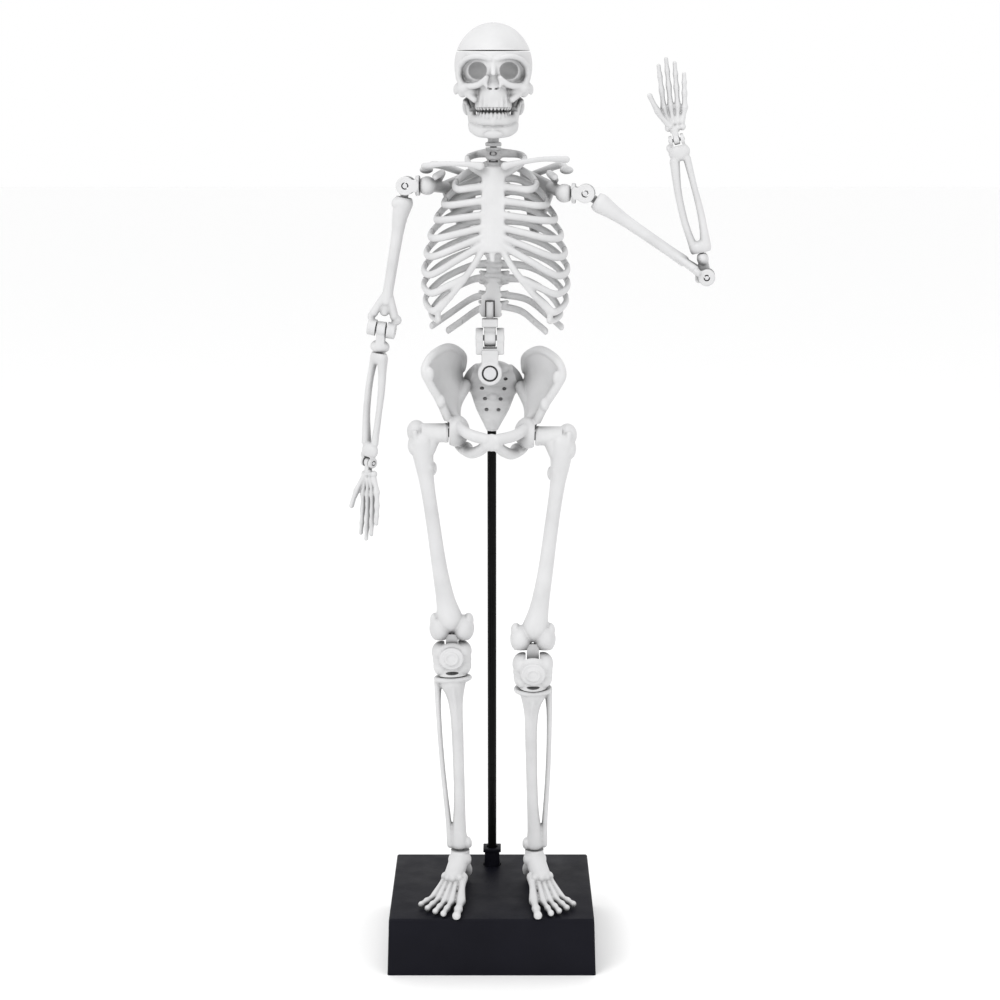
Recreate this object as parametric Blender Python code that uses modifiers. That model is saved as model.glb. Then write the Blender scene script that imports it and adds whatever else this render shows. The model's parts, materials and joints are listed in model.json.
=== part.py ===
"""A small jointed skeleton on a box base: bones, hinge pins, swivel pegs, rod and stand.

Lengths in this file are millimetres and angles are degrees. finish_mesh turns each mesh into
metres. +Z is up, the figure faces -Y, and its left side is at +X. The origin is the middle of
the base's underside. Names ending in _left and _right are the figure's own sides.
"""

import functools
import math

import bmesh
import bpy
from mathutils import Matrix, Vector

MM = 0.001

# ---------------------------------------------------------------- fits
FIT = 0.3            # gap left between two pieces, per side
PEG_FIT = 0.3        # gap round a peg or a pin, per side
SIDES = {"left": 1, "right": -1}

# ---------------------------------------------------------------- stand
BASE_WIDTH = 52.2
BASE_DEPTH = 47.5
BASE_HEIGHT = 14.7
BASE_DRAFT = 0.45    # how far each side leans in towards the top
BASE_WALL = 2.2
BASE_EDGE = 0.5      # radius of the outer edges
COVER_THICKNESS = 1.8
ROD_RADIUS = 1.15
ROD_Y = 15.4
ROD_DROP = 2.9       # top of the rod, below the waist pin
SOCKET_WIDTH = 3.9
SOCKET_HEIGHT = 4.7
SOCKET_FLANGE = 4.7
SOCKET_FLANGE_HEIGHT = 0.9
SOCKET_SPIGOT_RADIUS = 2.1
SOCKET_DEPTH = 5.2   # how far the spigot reaches into the base

# ---------------------------------------------------------------- pelvis and waist
WAIST_X = 0.5        # pelvis frame; its height comes from the legs, in stand_height
WAIST_Y = 3.5
PELVIS_TILT = 1.6
WAIST_PIN_X = -0.9
WAIST_PIN_RADIUS = 0.9
WAIST_PIN_HEAD = 1.6
WAIST_EYE_RADIUS = 3.0
WAIST_EYE_BORE = 2.05
WAIST_EYE_FRONT = -3.0
WAIST_EYE_BACK = -0.3
HINGE_RISE = 8.6     # waist pin up to the forward-bend hinge
HINGE_CHEEK_RADIUS = 2.5
HINGE_CHEEK_OUT = 3.55
HINGE_TONGUE = 2.85
HINGE_PIN_RADIUS = 0.7
TWIST_SEAT = 13.4    # waist pin up to the face where the spine turns
TWIST_BLOCK = 4.1
TWIST_PEG_RADIUS = 0.9
TWIST_PEG_LENGTH = 4.2
SACRUM_HALF = 7.0    # half the width where the sacrum meets the hip bones
SEAM_Y = 7.8         # middle of that seam, from front to back
SEAM_DEPTH = 3.2     # how far the seam runs back, and out, at its slant
HIP_Y = -2.5
HIP_DROP = 15.3      # waist pin down to the hip pegs
HIP_FACE = 10.6      # outer face of the hip socket
HIP_FACE_RADIUS = 3.5
HIP_PEG_RADIUS = 1.1
HIP_PEG_LENGTH = 3.2
HIP_PEG_PLAY = 0.15  # more room still, because the peg sits level in a tilted pelvis

# ---------------------------------------------------------------- torso
TORSO_LEAN = -1.6    # undoes the pelvis tilt, so that the torso stands upright
TORSO_SHIFT = 1.5    # the middle of the rib cage stands this far left of the peg it turns on
SPINE_X = -0.8       # the spine and the neck, from the middle of the rib cage
TORSO_YAW = -5.0
RIB_THICK = 0.72
RIB_TALL = 1.0
RIB_SPLIT = 0.0      # y where the back and front mouldings of the rib cage meet
SHOULDER_X = 22.1
SHOULDER_Y = -1.0
SHOULDER_Z = {"left": 44.4, "right": 46.1}    # above the waist pin
SHOULDER_FACE = 18.4
NECK_Y = 2.0
NECK_SEAT = 55.3     # above the waist pin
NECK_TOP = 60.5      # the nod axis, above the waist pin
NECK_RADIUS = 1.35
NECK_BALL = 1.8
NECK_PEG_RADIUS = 0.8
NECK_PEG_LENGTH = 3.6
CLAVICLE_RISE = {"left": 2.9, "right": 0.4}

# ---------------------------------------------------------------- skull, about the nod axis
CAP_CUT = 18.0
CASE_CENTRE = Vector((0.0, -1.0, 14.5))
CASE_RADII = Vector((9.55, 11.8, 10.4))
BRAIN_CENTRE = Vector((0.0, 0.2, 14.5))
BRAIN_RADII = Vector((7.4, 8.6, 8.2))
TEETH_LINE = 3.9
JAW_HINGE = Vector((0.0, -0.6, 6.4))

# ---------------------------------------------------------------- arms
UPPER_ARM = 36.0     # shoulder pin to elbow pin
FOREARM = 34.0       # elbow pin to wrist pin
SHOULDER_DISC = 2.0
SHOULDER_CHEEK = 2.3
SHOULDER_HALF = 1.3  # half the thickness of the shoulder disc
SHOULDER_PIN_RADIUS = 0.6
SHOULDER_PEG_RADIUS = 1.0
SHOULDER_PEG_LENGTH = 2.6
UPPER_PEG_RADIUS = 1.0
UPPER_PEG_END = 5.4
UPPER_ARM_TOP = 2.9
ELBOW_TONGUE = 2.3
ELBOW_RADIUS = 1.9
ELBOW_CHEEK = 2.1
ELBOW_WIDTH = 7.2
ELBOW_PIN_RADIUS = 0.5
FOREARM_TOP = 6.1    # below the elbow pin, where the forearm turns
FOREARM_PEG_RADIUS = 0.6
FOREARM_PEG_LENGTH = 2.1
WRIST_TONGUE = 1.5
WRIST_RADIUS = 1.2
WRIST_PIN_RADIUS = 0.4
ARM_RAISE = {"left": 56.0, "right": 10.3}
ARM_TURN = {"left": 90.0, "right": 0.0}
ARM_CARRY = {"left": 0.0, "right": 4.2}
ELBOW_BEND = {"left": 137.4, "right": 0.0}
HAND_LEAN = {"left": -7.0, "right": -10.0}      # the palm leans this far towards the thumb
PALM_TURN = {"left": -90.0, "right": 40.0}

# ---------------------------------------------------------------- legs
HIP_X = 14.0         # middle of the femoral neck
THIGH = 58.6         # hip axis to knee pin
KNEE_IN = 3.7        # the knee pin lies this far inside the middle of the neck
SHANK = 50.7         # knee pin to ankle
FEMUR_END_RISE = 4.9   # the condyles' flat underside, above the knee pin
KNEE_TONGUE = 3.0
KNEE_RADIUS = 2.4
KNEE_PIN_RADIUS = 0.7
KNEE_BLOCK = Vector((5.2, 3.9, 4.4))
PATELLA = Vector((3.2, 1.5, 3.0))
KNEE_SEAT = 4.6      # knee pin down to the seam between the knee block and the shin
SHIN_PEG_RADIUS = 1.0
SHIN_PEG_LENGTH = 3.0
ANKLE_BALL = 1.4
ANKLE_BALL_RISE = 1.7  # the ball's centre above the foot's top
ANKLE_NECK = 0.85
ANKLE_PLAY = 0.25    # room for the neck to stand at an angle in the mouth of its socket
ANKLE_HEIGHT = 9.45  # ankle down to the sole
THIGH_SWING = {"left": -8.0, "right": 2.5}
SHIN_SWING = {"left": 8.2, "right": -4.0}
SHIN_LATERAL = {"left": -0.7, "right": -2.3}
FOOT_SPLAY = 12.0
FOOT_GAP = 0.37      # under the lower of the two soles
ANKLE_WALL = 0.36    # round the ankle's socket

# The lengths that the limb bones' outlines were drawn at. A longer bone is stretched from these.
DRAWN_THIGH = 58.6
DRAWN_SHANK = 50.7
DRAWN_UPPER_ARM = 36.0
DRAWN_FOREARM = 34.0

PARTS = "human_skeleton_model"
CUTTERS = "cutters"
COLOURS = {
    "bone": ((0.83, 0.83, 0.84, 1.0), 0.45, 0.0),
    "pin": ((0.78, 0.78, 0.79, 1.0), 0.4, 0.0),
    "base": ((0.010, 0.010, 0.014, 1.0), 0.35, 0.0),
    "rod": ((0.008, 0.008, 0.010, 1.0), 0.3, 0.6),
}


def clear_scene():
    for item in list(bpy.data.objects):
        bpy.data.objects.remove(item)
    for name in (PARTS, CUTTERS):
        collection = bpy.data.collections.new(name)
        bpy.context.scene.collection.children.link(collection)


def material(name, kind):
    colour, roughness, metallic = COLOURS[kind]
    made = bpy.data.materials.new(name)
    made.use_nodes = True
    shader = made.node_tree.nodes["Principled BSDF"]
    shader.inputs["Base Color"].default_value = colour
    shader.inputs["Roughness"].default_value = roughness
    shader.inputs["Metallic"].default_value = metallic
    return made


# ---------------------------------------------------------------- frames
def turn(axis, degrees):
    return Matrix.Rotation(math.radians(degrees), 4, axis)


def frame(name, at, parent=None, rotation=None):
    """An empty that a body's pieces hang from, at a point of its parent's frame."""
    empty = bpy.data.objects.new(name, None)
    empty.empty_display_size = 2 * MM
    bpy.data.collections[PARTS].objects.link(empty)
    empty.parent = parent
    empty.matrix_local = Matrix.Translation(Vector(at) * MM) @ (rotation or Matrix())
    return empty


# ---------------------------------------------------------------- shapes, in millimetres
class Clay:
    """Overlapping closed shapes, gathered as points and faces until they become one mesh."""

    def __init__(self):
        self.points = []
        self.faces = []

    def add(self, points, faces):
        first = len(self.points)
        self.points.extend(points)
        self.faces.extend([first + i for i in face] for face in faces)

    def add_bmesh(self, bm):
        bmesh.ops.recalc_face_normals(bm, faces=bm.faces)
        bm.verts.index_update()
        points = [v.co.copy() for v in bm.verts]
        self.add(points, [[v.index for v in f.verts] for f in bm.faces])
        bm.free()


@functools.lru_cache
def unit_sphere(detail):
    clay = Clay()
    bm = bmesh.new()
    rows = detail * 2 // 3
    bmesh.ops.create_uvsphere(bm, u_segments=detail, v_segments=rows, radius=1.0)
    clay.add_bmesh(bm)
    return clay


def ellipsoid(clay, centre, radii, detail=12):
    if not hasattr(radii, "__len__"):
        radii = (radii, radii, radii)
    place = Matrix.Translation(Vector(centre)) @ Matrix.Diagonal((*radii, 1.0))
    ball = unit_sphere(detail)
    clay.add([place @ point for point in ball.points], ball.faces)


def smooth_path(points, step):
    """Points about a step apart on a Catmull-Rom curve. Each point is (x, y, z, scale)."""
    points = [Vector((*p, 1.0)) if len(p) == 3 else Vector(p) for p in points]
    ends = [2 * points[0] - points[1], *points, 2 * points[-1] - points[-2]]
    found = []
    for a, b, c, d in zip(ends, ends[1:], ends[2:], ends[3:]):
        count = max(1, round((c - b).length / step))
        for i in range(count):
            t = i / count
            linear = (c - a) * t
            square = (2 * a - 5 * b + 4 * c - d) * t**2
            cube = (3 * b - a - 3 * c + d) * t**3
            found.append(0.5 * (2 * b + linear + square + cube))
    return found + [points[-1]]


def strand(clay, points, radii, step=0.7):
    """A bone-like strand: close ellipsoids along a smooth path, each scaled by its own scale."""
    if not hasattr(radii, "__len__"):
        radii = (radii, radii, radii)
    for point in smooth_path(points, step):
        ellipsoid(clay, point[:3], [r * point[3] for r in radii], 8)


def cylinder(clay, start, end, radius, sides=16, end_radius=None):
    start, end = Vector(start), Vector(end)
    along = end - start
    direction = along.to_track_quat("Z", "Y").to_matrix().to_4x4()
    bm = bmesh.new()
    bmesh.ops.create_cone(
        bm,
        cap_ends=True,
        segments=sides,
        radius1=radius,
        radius2=radius if end_radius is None else end_radius,
        depth=along.length,
        matrix=Matrix.Translation((start + end) / 2) @ direction,
    )
    clay.add_bmesh(bm)


def box(clay, low, high):
    low, high = Vector(low), Vector(high)
    place = Matrix.Translation((low + high) / 2) @ Matrix.Diagonal((*(high - low), 1.0))
    bm = bmesh.new()
    bmesh.ops.create_cube(bm, size=1.0, matrix=place)
    clay.add_bmesh(bm)


def prism(clay, outline, low, high):
    """An upright prism over an outline of (x, y) points."""
    count = len(outline)
    bm = bmesh.new()
    rings = [[bm.verts.new((x, y, z)) for x, y in outline] for z in (low, high)]
    for ring in rings:
        bm.faces.new(ring)
    for i in range(count):
        j = (i + 1) % count
        bm.faces.new((rings[0][i], rings[0][j], rings[1][j], rings[1][i]))
    clay.add_bmesh(bm)


def mesh_from(build):
    clay = Clay()
    build(clay)
    mesh = bpy.data.meshes.new("working")
    mesh.from_pydata(clay.points, [], clay.faces)
    return mesh


def evaluated(item):
    graph = bpy.context.evaluated_depsgraph_get()
    mesh = bpy.data.meshes.new_from_object(item.evaluated_get(graph))
    bpy.data.objects.remove(item)
    return mesh


def working(mesh):
    item = bpy.data.objects.new("working", mesh)
    bpy.data.collections[CUTTERS].objects.link(item)
    return item


def fused(mesh, voxel, smoothing):
    """One closed skin round the overlapping shapes of a mesh."""
    item = working(mesh)
    remesh = item.modifiers.new("Skin", "REMESH")
    remesh.mode = "VOXEL"
    remesh.voxel_size = voxel
    smooth = item.modifiers.new("Smooth", "SMOOTH")
    smooth.factor = 0.5
    smooth.iterations = smoothing
    return evaluated(item)


def carved(mesh, build):
    tool = working(fused(mesh_from(build), 0.25, 1))
    item = working(mesh)
    cut = item.modifiers.new("Carve", "BOOLEAN")
    cut.operation = "DIFFERENCE"
    cut.object = tool
    mesh = evaluated(item)
    bpy.data.objects.remove(tool)
    return mesh


def thinned(mesh, triangles):
    mesh.calc_loop_triangles()
    item = working(mesh)
    thin = item.modifiers.new("Thin", "DECIMATE")
    thin.ratio = min(1.0, triangles / len(mesh.loop_triangles))
    return evaluated(item)


def bone_mesh(build, triangles, voxel=0.4, carve=None, smoothing=2):
    mesh = fused(mesh_from(build), voxel, smoothing)
    if carve:
        mesh = fused(carved(mesh, carve), voxel, 1)
    return thinned(mesh, triangles)


def finish_mesh(name, mesh, body, kind="bone", smooth=True):
    """Turns a mesh into metres and hangs it from its body's frame as a finished piece."""
    mesh.transform(Matrix.Scale(MM, 4))
    mesh.name = name
    item = bpy.data.objects.new(name, mesh)
    bpy.data.collections[PARTS].objects.link(item)
    item.parent = body
    mesh.materials.clear()
    mesh.materials.append(material(name, kind))
    if smooth:
        mesh.shade_smooth()
        mesh.set_sharp_from_angle(angle=math.radians(35))
    return item


def bone(name, body, build, triangles, **options):
    return finish_mesh(name, bone_mesh(build, triangles, **options), body)


def solid(name, body, build, kind="pin"):
    return finish_mesh(name, mesh_from(build), body, kind)


def boolean(item, operation, build):
    """Joins a plain shape to a piece, or cuts it away, with a cutter in the piece's own frame."""
    mesh = mesh_from(build)
    mesh.transform(Matrix.Scale(MM, 4))
    number = len(item.modifiers) + 1
    tool = bpy.data.objects.new(f"{item.name}_{operation.lower()}_{number}", mesh)
    bpy.data.collections[CUTTERS].objects.link(tool)
    tool.parent = item.parent
    tool.hide_render = True
    tool.display_type = "WIRE"
    modifier = item.modifiers.new(f"{operation.title()} {number}", "BOOLEAN")
    modifier.operation = operation
    modifier.object = tool


def cut(item, build):
    boolean(item, "DIFFERENCE", build)


def join(item, build):
    boolean(item, "UNION", build)


def stretched(points, share):
    """The same outline for a bone that is longer or shorter by this share."""
    return [(p[0], p[1], p[2] * share, *p[3:]) for p in points]


def leg_reach(label):
    """How far a sole lies below the waist pin."""
    side = SIDES[label]
    hip = turn("Y", PELVIS_TILT) @ Vector((side * HIP_X, HIP_Y, -HIP_DROP))
    thigh = turn("X", THIGH_SWING[label]) @ Vector((-side * KNEE_IN, 0, -THIGH))
    shin = turn("X", SHIN_SWING[label]) @ turn("Y", SHIN_LATERAL[label])
    return ANKLE_HEIGHT - (hip + thigh + shin @ Vector((0, 0, -SHANK))).z


def waist_point():
    """The pelvis frame's place: as high as the longer leg lifts it off the base."""
    reach = max(leg_reach(label) for label in SIDES)
    return Vector((WAIST_X, WAIST_Y, BASE_HEIGHT + FOOT_GAP + reach))


# ---------------------------------------------------------------- stand
def build_stand(body):
    cavity_x = BASE_WIDTH / 2 - BASE_WALL
    cavity_y = BASE_DEPTH / 2 - BASE_WALL
    roof = BASE_HEIGHT - BASE_WALL

    def outside(clay):
        bm = bmesh.new()
        size = Matrix.Diagonal((BASE_WIDTH, BASE_DEPTH, BASE_HEIGHT, 1.0))
        middle = Matrix.Translation((0, 0, BASE_HEIGHT / 2))
        bmesh.ops.create_cube(bm, size=1.0, matrix=middle @ size)
        for vertex in bm.verts:
            if vertex.co.z > BASE_HEIGHT / 2:
                vertex.co.x -= math.copysign(BASE_DRAFT, vertex.co.x)
                vertex.co.y -= math.copysign(BASE_DRAFT, vertex.co.y)
        edges = [e for e in bm.edges if max(v.co.z for v in e.verts) > BASE_HEIGHT / 2]
        bmesh.ops.bevel(bm, geom=edges, offset=BASE_EDGE, segments=3, affect="EDGES", profile=0.5)
        clay.add_bmesh(bm)

    shell = solid("base_shell", body, outside, "base")
    cut(shell, lambda clay: box(clay, (-cavity_x, -cavity_y, -1), (cavity_x, cavity_y, roof)))
    bore = SOCKET_SPIGOT_RADIUS + PEG_FIT
    cut(shell, lambda clay: cylinder(clay, (0, ROD_Y, roof - 1), (0, ROD_Y, BASE_HEIGHT + 1), bore))

    cover_x = cavity_x - FIT
    cover_y = cavity_y - FIT
    solid(
        "base_cover",
        body,
        lambda clay: box(clay, (-cover_x, -cover_y, 0), (cover_x, cover_y, COVER_THICKNESS)),
        "base",
    )

    foot = BASE_HEIGHT + FIT
    top = foot + SOCKET_HEIGHT
    half = SOCKET_WIDTH / 2
    flange = SOCKET_FLANGE / 2
    lowest = BASE_HEIGHT - SOCKET_DEPTH

    def block(clay):
        box(clay, (-half, ROD_Y - half, foot), (half, ROD_Y + half, top - SOCKET_FLANGE_HEIGHT / 2))

    socket = solid("rod_socket", body, block, "base")
    join(
        socket,
        lambda clay: box(
            clay,
            (-flange, ROD_Y - flange, top - SOCKET_FLANGE_HEIGHT),
            (flange, ROD_Y + flange, top),
        ),
    )
    spigot = SOCKET_SPIGOT_RADIUS
    join(socket, lambda clay: cylinder(clay, (0, ROD_Y, lowest), (0, ROD_Y, foot + 1), spigot))
    seat = lowest + 1.0
    rod_bore = ROD_RADIUS + PEG_FIT
    cut(socket, lambda clay: cylinder(clay, (0, ROD_Y, seat), (0, ROD_Y, top + 1), rod_bore))
    rod_start = seat + FIT
    rod_top = waist_point().z - ROD_DROP
    solid(
        "support_rod",
        body,
        lambda clay: cylinder(clay, (0, ROD_Y, rod_start), (0, ROD_Y, rod_top), ROD_RADIUS, 16),
        "rod",
    )


# ---------------------------------------------------------------- pelvis
# The hip bone's blade runs from the pelvic inlet out to its rim, both from front to back.
BLADE_INLET = [
    (8.8, -2.0, -12.4),
    (9.9, -0.2, -10.4),
    (9.7, 3.2, -8.0),
    (8.5, 6.0, -6.2),
    (7.4, 7.8, -4.8),
]
BLADE_RIM = [
    (10.9, -3.0, -12.0),
    (13.2, -4.6, -6.8),
    (15.6, -5.8, -2.6),
    (17.0, -5.6, 0.8),
    (15.4, -2.6, 4.0),
    (11.6, 2.6, 5.6),
    (8.2, 7.0, 3.4),
    (7.3, 8.8, -0.4),
]
BLADES = 26          # strands laid side by side to fill one blade


def blade_point(path, side, t):
    """The point a share t of the way along one edge of the blade."""
    place = t * (len(path) - 1)
    index = min(int(place), len(path) - 2)
    x, y, z = Vector(path[index]).lerp(Vector(path[index + 1]), place - index)
    return Vector((side * x, y, z))


def pelvis_shape(clay):
    for side in SIDES.values():
        for i in range(BLADES + 1):
            t = i / BLADES
            rim = blade_point(BLADE_RIM, side, t)
            root = blade_point(BLADE_INLET, side, t)
            middle = (rim + root) / 2 + Vector((side * 0.7, 0.7, 0))
            strand(clay, [(*root, 1.5), (*middle, 0.95), (*rim, 1.0)], 0.85, 0.9)
        strand(clay, [(side * x, y, z) for x, y, z in BLADE_RIM], 1.2)
        x = side
        strand(clay, [(x * 6.4, 7.0, -4.4), (x * 9.2, 3.6, -8.8), (x * 9.4, -1.6, -12.6)], 1.6)
        strand(clay, [(x * 9.2, -3.0, -12.8), (x * 6.0, -7.4, -14.6), (x * 1.3, -9.7, -15.6)], 1.4)
        strand(
            clay,
            [
                (x * 1.2, -9.6, -17.0),
                (x * 3.4, -6.6, -19.2),
                (x * 5.6, -2.4, -20.0),
                (x * 8.2, 1.0, -18.6),
                (x * 9.0, 0.4, -14.5),
            ],
            1.4,
        )
        strand(clay, [(x * 9.0, 1.0, -14.0), (x * 7.6, 4.2, -14.2)], 0.9)
        ellipsoid(clay, (x * 9.0, HIP_Y + 0.4, -HIP_DROP + 0.6), (3.4, 3.6, 4.0))
    ellipsoid(clay, (0, -9.8, -16.3), (2.0, 1.25, 2.1))


# The sacrum's half width, from its top (0) to its tip (1).
SACRUM_WIDTHS = [(0.0, 4.2), (0.12, 6.2), (0.3, 7.4), (0.44, 4.9), (0.7, 3.4), (1.0, 0.7)]


def sacrum_half(t):
    for (high, wide), (low, narrow) in zip(SACRUM_WIDTHS, SACRUM_WIDTHS[1:]):
        if t <= low:
            return wide + (narrow - wide) * (t - high) / (low - high)
    return SACRUM_WIDTHS[-1][1]


def sacrum_shape(clay):
    rows = 16
    for i in range(rows + 1):
        t = i / rows
        half = sacrum_half(t)
        y = 6.4 + 3.2 * math.sin(math.pi * t) - 1.4 * t
        z = 0.6 - 15.6 * t
        strand(clay, [(-half, y, z), (0, y - 0.4, z), (half, y, z)], (0.9, 1.15, 0.9), 1.0)
    cylinder(clay, (WAIST_PIN_X, 0.0, 0), (WAIST_PIN_X, 7.0, 0), 2.6)
    ellipsoid(clay, (0, 6.2, 0.4), (4.2, 2.2, 1.8))
    rod_y = ROD_Y - WAIST_Y
    cylinder(clay, (-0.5, rod_y, -11.0), (-0.5, rod_y, -1.0), 2.7)
    strand(clay, [(0, 8.0, -2.5), (-0.5, rod_y, -4.0)], 1.8)
    strand(clay, [(0, 8.8, -7.5), (-0.5, rod_y, -8.5)], 1.8)


def build_pelvis(body):
    ring = bone("pelvis_ring", body, pelvis_shape, 680)
    for side in SIDES.values():
        start = (side * (HIP_FACE - HIP_PEG_LENGTH - PEG_FIT), HIP_Y, -HIP_DROP)
        bore = HIP_PEG_RADIUS + PEG_FIT + HIP_PEG_PLAY
        cut(ring, lambda clay, s=start, x=side: cylinder(clay, s, (x * 16, HIP_Y, -HIP_DROP), bore, 12))
        cut(
            ring,
            lambda clay, x=side: cylinder(
                clay, (x * HIP_FACE, HIP_Y, -HIP_DROP), (x * 16, HIP_Y, -HIP_DROP), HIP_FACE_RADIUS
            ),
        )

    # The seams slant outwards to the back, so that no light shows through their gap.
    front = SACRUM_HALF - SEAM_DEPTH / 2 + FIT / 2
    back = SACRUM_HALF + SEAM_DEPTH / 2 + FIT / 2
    near = SEAM_Y - SEAM_DEPTH / 2
    far = SEAM_Y + SEAM_DEPTH / 2
    bed = [(-front, 2.0), (front, 2.0), (front, near), (back, far), (back, 14.0)]
    bed += [(-back, 14.0), (-back, far), (-front, near)]
    cut(ring, lambda clay: prism(clay, bed, -13.0, 4.0))

    sacrum = bone("sacrum", body, sacrum_shape, 240)
    front -= 2 * FIT
    back -= 2 * FIT
    for x in (-1, 1):
        edge = [(x * front, 0), (x * front, near), (x * back, far), (x * back, 20), (x * 16, 20)]
        edge.append((x * 16, 0))
        cut(sacrum, lambda clay, outline=edge: prism(clay, outline, -20, 6))
    cut(sacrum, lambda clay: box(clay, (-4, -3, -4), (4, 0.0, 4)))
    pin_bore = WAIST_PIN_RADIUS + PEG_FIT
    cut(
        sacrum,
        lambda clay: cylinder(clay, (WAIST_PIN_X, -1, 0), (WAIST_PIN_X, 3.3, 0), pin_bore, 12),
    )
    rod_low = Vector((-WAIST_X, ROD_Y - WAIST_Y, BASE_HEIGHT - waist_point().z))
    rod_high = Vector((-WAIST_X, ROD_Y - WAIST_Y, FIT - ROD_DROP))
    back = turn("Y", -PELVIS_TILT)
    rod_bore = ROD_RADIUS + PEG_FIT + 0.1
    cut(sacrum, lambda clay: cylinder(clay, back @ rod_low, back @ rod_high, rod_bore, 16))

    def pin(clay):
        cylinder(clay, (WAIST_PIN_X, -1.9, 0), (WAIST_PIN_X, 3.0, 0), WAIST_PIN_RADIUS, 12)

    waist_pin = solid("waist_pin", body, pin)
    head = (WAIST_PIN_X, WAIST_EYE_FRONT - 0.1, 0)
    join(waist_pin, lambda clay: cylinder(clay, head, (WAIST_PIN_X, -1.8, 0), WAIST_PIN_HEAD, 16))


# ---------------------------------------------------------------- waist
def build_waist(link_body, tongue_body):
    def eye(clay):
        cylinder(clay, (0, WAIST_EYE_FRONT, 0), (0, WAIST_EYE_BACK, 0), WAIST_EYE_RADIUS, 20)

    link = solid("lumbar_link", link_body, eye, "bone")
    neck_front = WAIST_EYE_FRONT + 0.3
    neck_back = WAIST_EYE_BACK - 0.15
    join(link, lambda clay: box(clay, (-2.15, neck_front, 1.5), (2.15, neck_back, 5.6)))
    cheek = HINGE_CHEEK_RADIUS
    out = HINGE_CHEEK_OUT
    flat = cheek - 0.15
    stem_top = HINGE_RISE - 0.2
    join(link, lambda clay: box(clay, (-out + 0.05, -flat, 5.0), (out - 0.05, flat, stem_top)))
    join(link, lambda clay: cylinder(clay, (-out, 0, HINGE_RISE), (out, 0, HINGE_RISE), cheek))
    slot = HINGE_TONGUE / 2 + FIT
    cut(link, lambda clay: box(clay, (-slot, -4, HINGE_RISE - cheek), (slot, 4, HINGE_RISE + 4)))
    cut(link, lambda clay: cylinder(clay, (0, -4, 0), (0, 4, 0), WAIST_PIN_RADIUS + PEG_FIT, 10))
    cut(link, lambda clay: cylinder(clay, (0, -4, 0), (0, -1.5, 0), WAIST_EYE_BORE, 20))
    pin_bore = HINGE_PIN_RADIUS + PEG_FIT
    cut(
        link,
        lambda clay: cylinder(clay, (-5, 0, HINGE_RISE), (5, 0, HINGE_RISE), pin_bore, 12),
    )
    end = HINGE_CHEEK_OUT + 0.1
    solid(
        "lumbar_hinge_pin",
        link_body,
        lambda clay: cylinder(clay, (-end, 0, HINGE_RISE), (end, 0, HINGE_RISE), HINGE_PIN_RADIUS, 12),
    )

    half = HINGE_TONGUE / 2
    seat = TWIST_SEAT - HINGE_RISE
    block = TWIST_BLOCK / 2

    def tongue(clay):
        cylinder(clay, (-half, 0, 0), (half, 0, 0), HINGE_CHEEK_RADIUS - 0.3)

    piece = solid("lumbar_tongue", tongue_body, tongue, "bone")
    join(piece, lambda clay: box(clay, (-half, -1.4, 0.5), (half, 1.4, 3.2)))
    join(piece, lambda clay: box(clay, (-block, -block, 2.8), (block, block, seat)))
    peg = seat + TWIST_PEG_LENGTH
    join(piece, lambda clay: cylinder(clay, (0, 0, seat - 1), (0, 0, peg), TWIST_PEG_RADIUS, 10))
    cut(piece, lambda clay: cylinder(clay, (-3, 0, 0), (3, 0, 0), HINGE_PIN_RADIUS + PEG_FIT, 10))


# ---------------------------------------------------------------- rib cage
SPINE = [
    (13.8, 0.0),
    (18.6, 0.5),
    (26.0, 3.2),
    (36.0, 5.4),
    (44.0, 5.2),
    (51.0, 3.2),
    (NECK_SEAT, NECK_Y),
]
# Each rib: height at the side, half width there, drop from spine to side, drop to the front.
RIBS = [
    (53.2, 7.1, 0.8, 3.6),
    (46.4, 10.1, 4.6, 0.6),
    (42.0, 12.8, 6.0, -0.4),
    (38.2, 14.7, 6.6, -0.8),
    (34.2, 16.2, 7.0, 0.0),
    (30.0, 17.2, 7.4, 0.4),
    (26.0, 17.8, 7.8, 1.2),
    (22.2, 17.9, 8.0, 2.6),
    (18.4, 17.5, 8.2, 3.6),
    (15.0, 16.1, 8.2, 1.4),
]
STERNUM_RIBS = [49.2, 46.2, 42.8, 39.4, 36.4, 34.2, 32.4]
FLOATING = [((7.0, 8.2, 17.4), (12.4, 5.6, 13.8), (16.2, 1.6, 11.3)),
            ((5.6, 7.0, 14.6), (9.6, 5.2, 11.8), (12.2, 2.6, 10.1))]
CAGE_Y = -0.6
CAGE_DEPTH = 9.0


def spine_y(z):
    for (low, y_low), (high, y_high) in zip(SPINE, SPINE[1:]):
        if z <= high:
            t = max(0.0, (z - low) / (high - low))
            return y_low + (y_high - y_low) * t
    return SPINE[-1][1]


def sternum_y(z):
    return -6.3 - 3.6 * min(1.0, max(0.0, (51.0 - z) / 19.0))


def margin_point(side, t):
    """A point on the costal margin, from the end of the sternum at t = 0 outwards."""
    return Vector((side * (2.2 + 11.6 * t), -9.9 + 3.6 * t**1.6, 31.4 - 15.6 * t**0.85))


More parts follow.
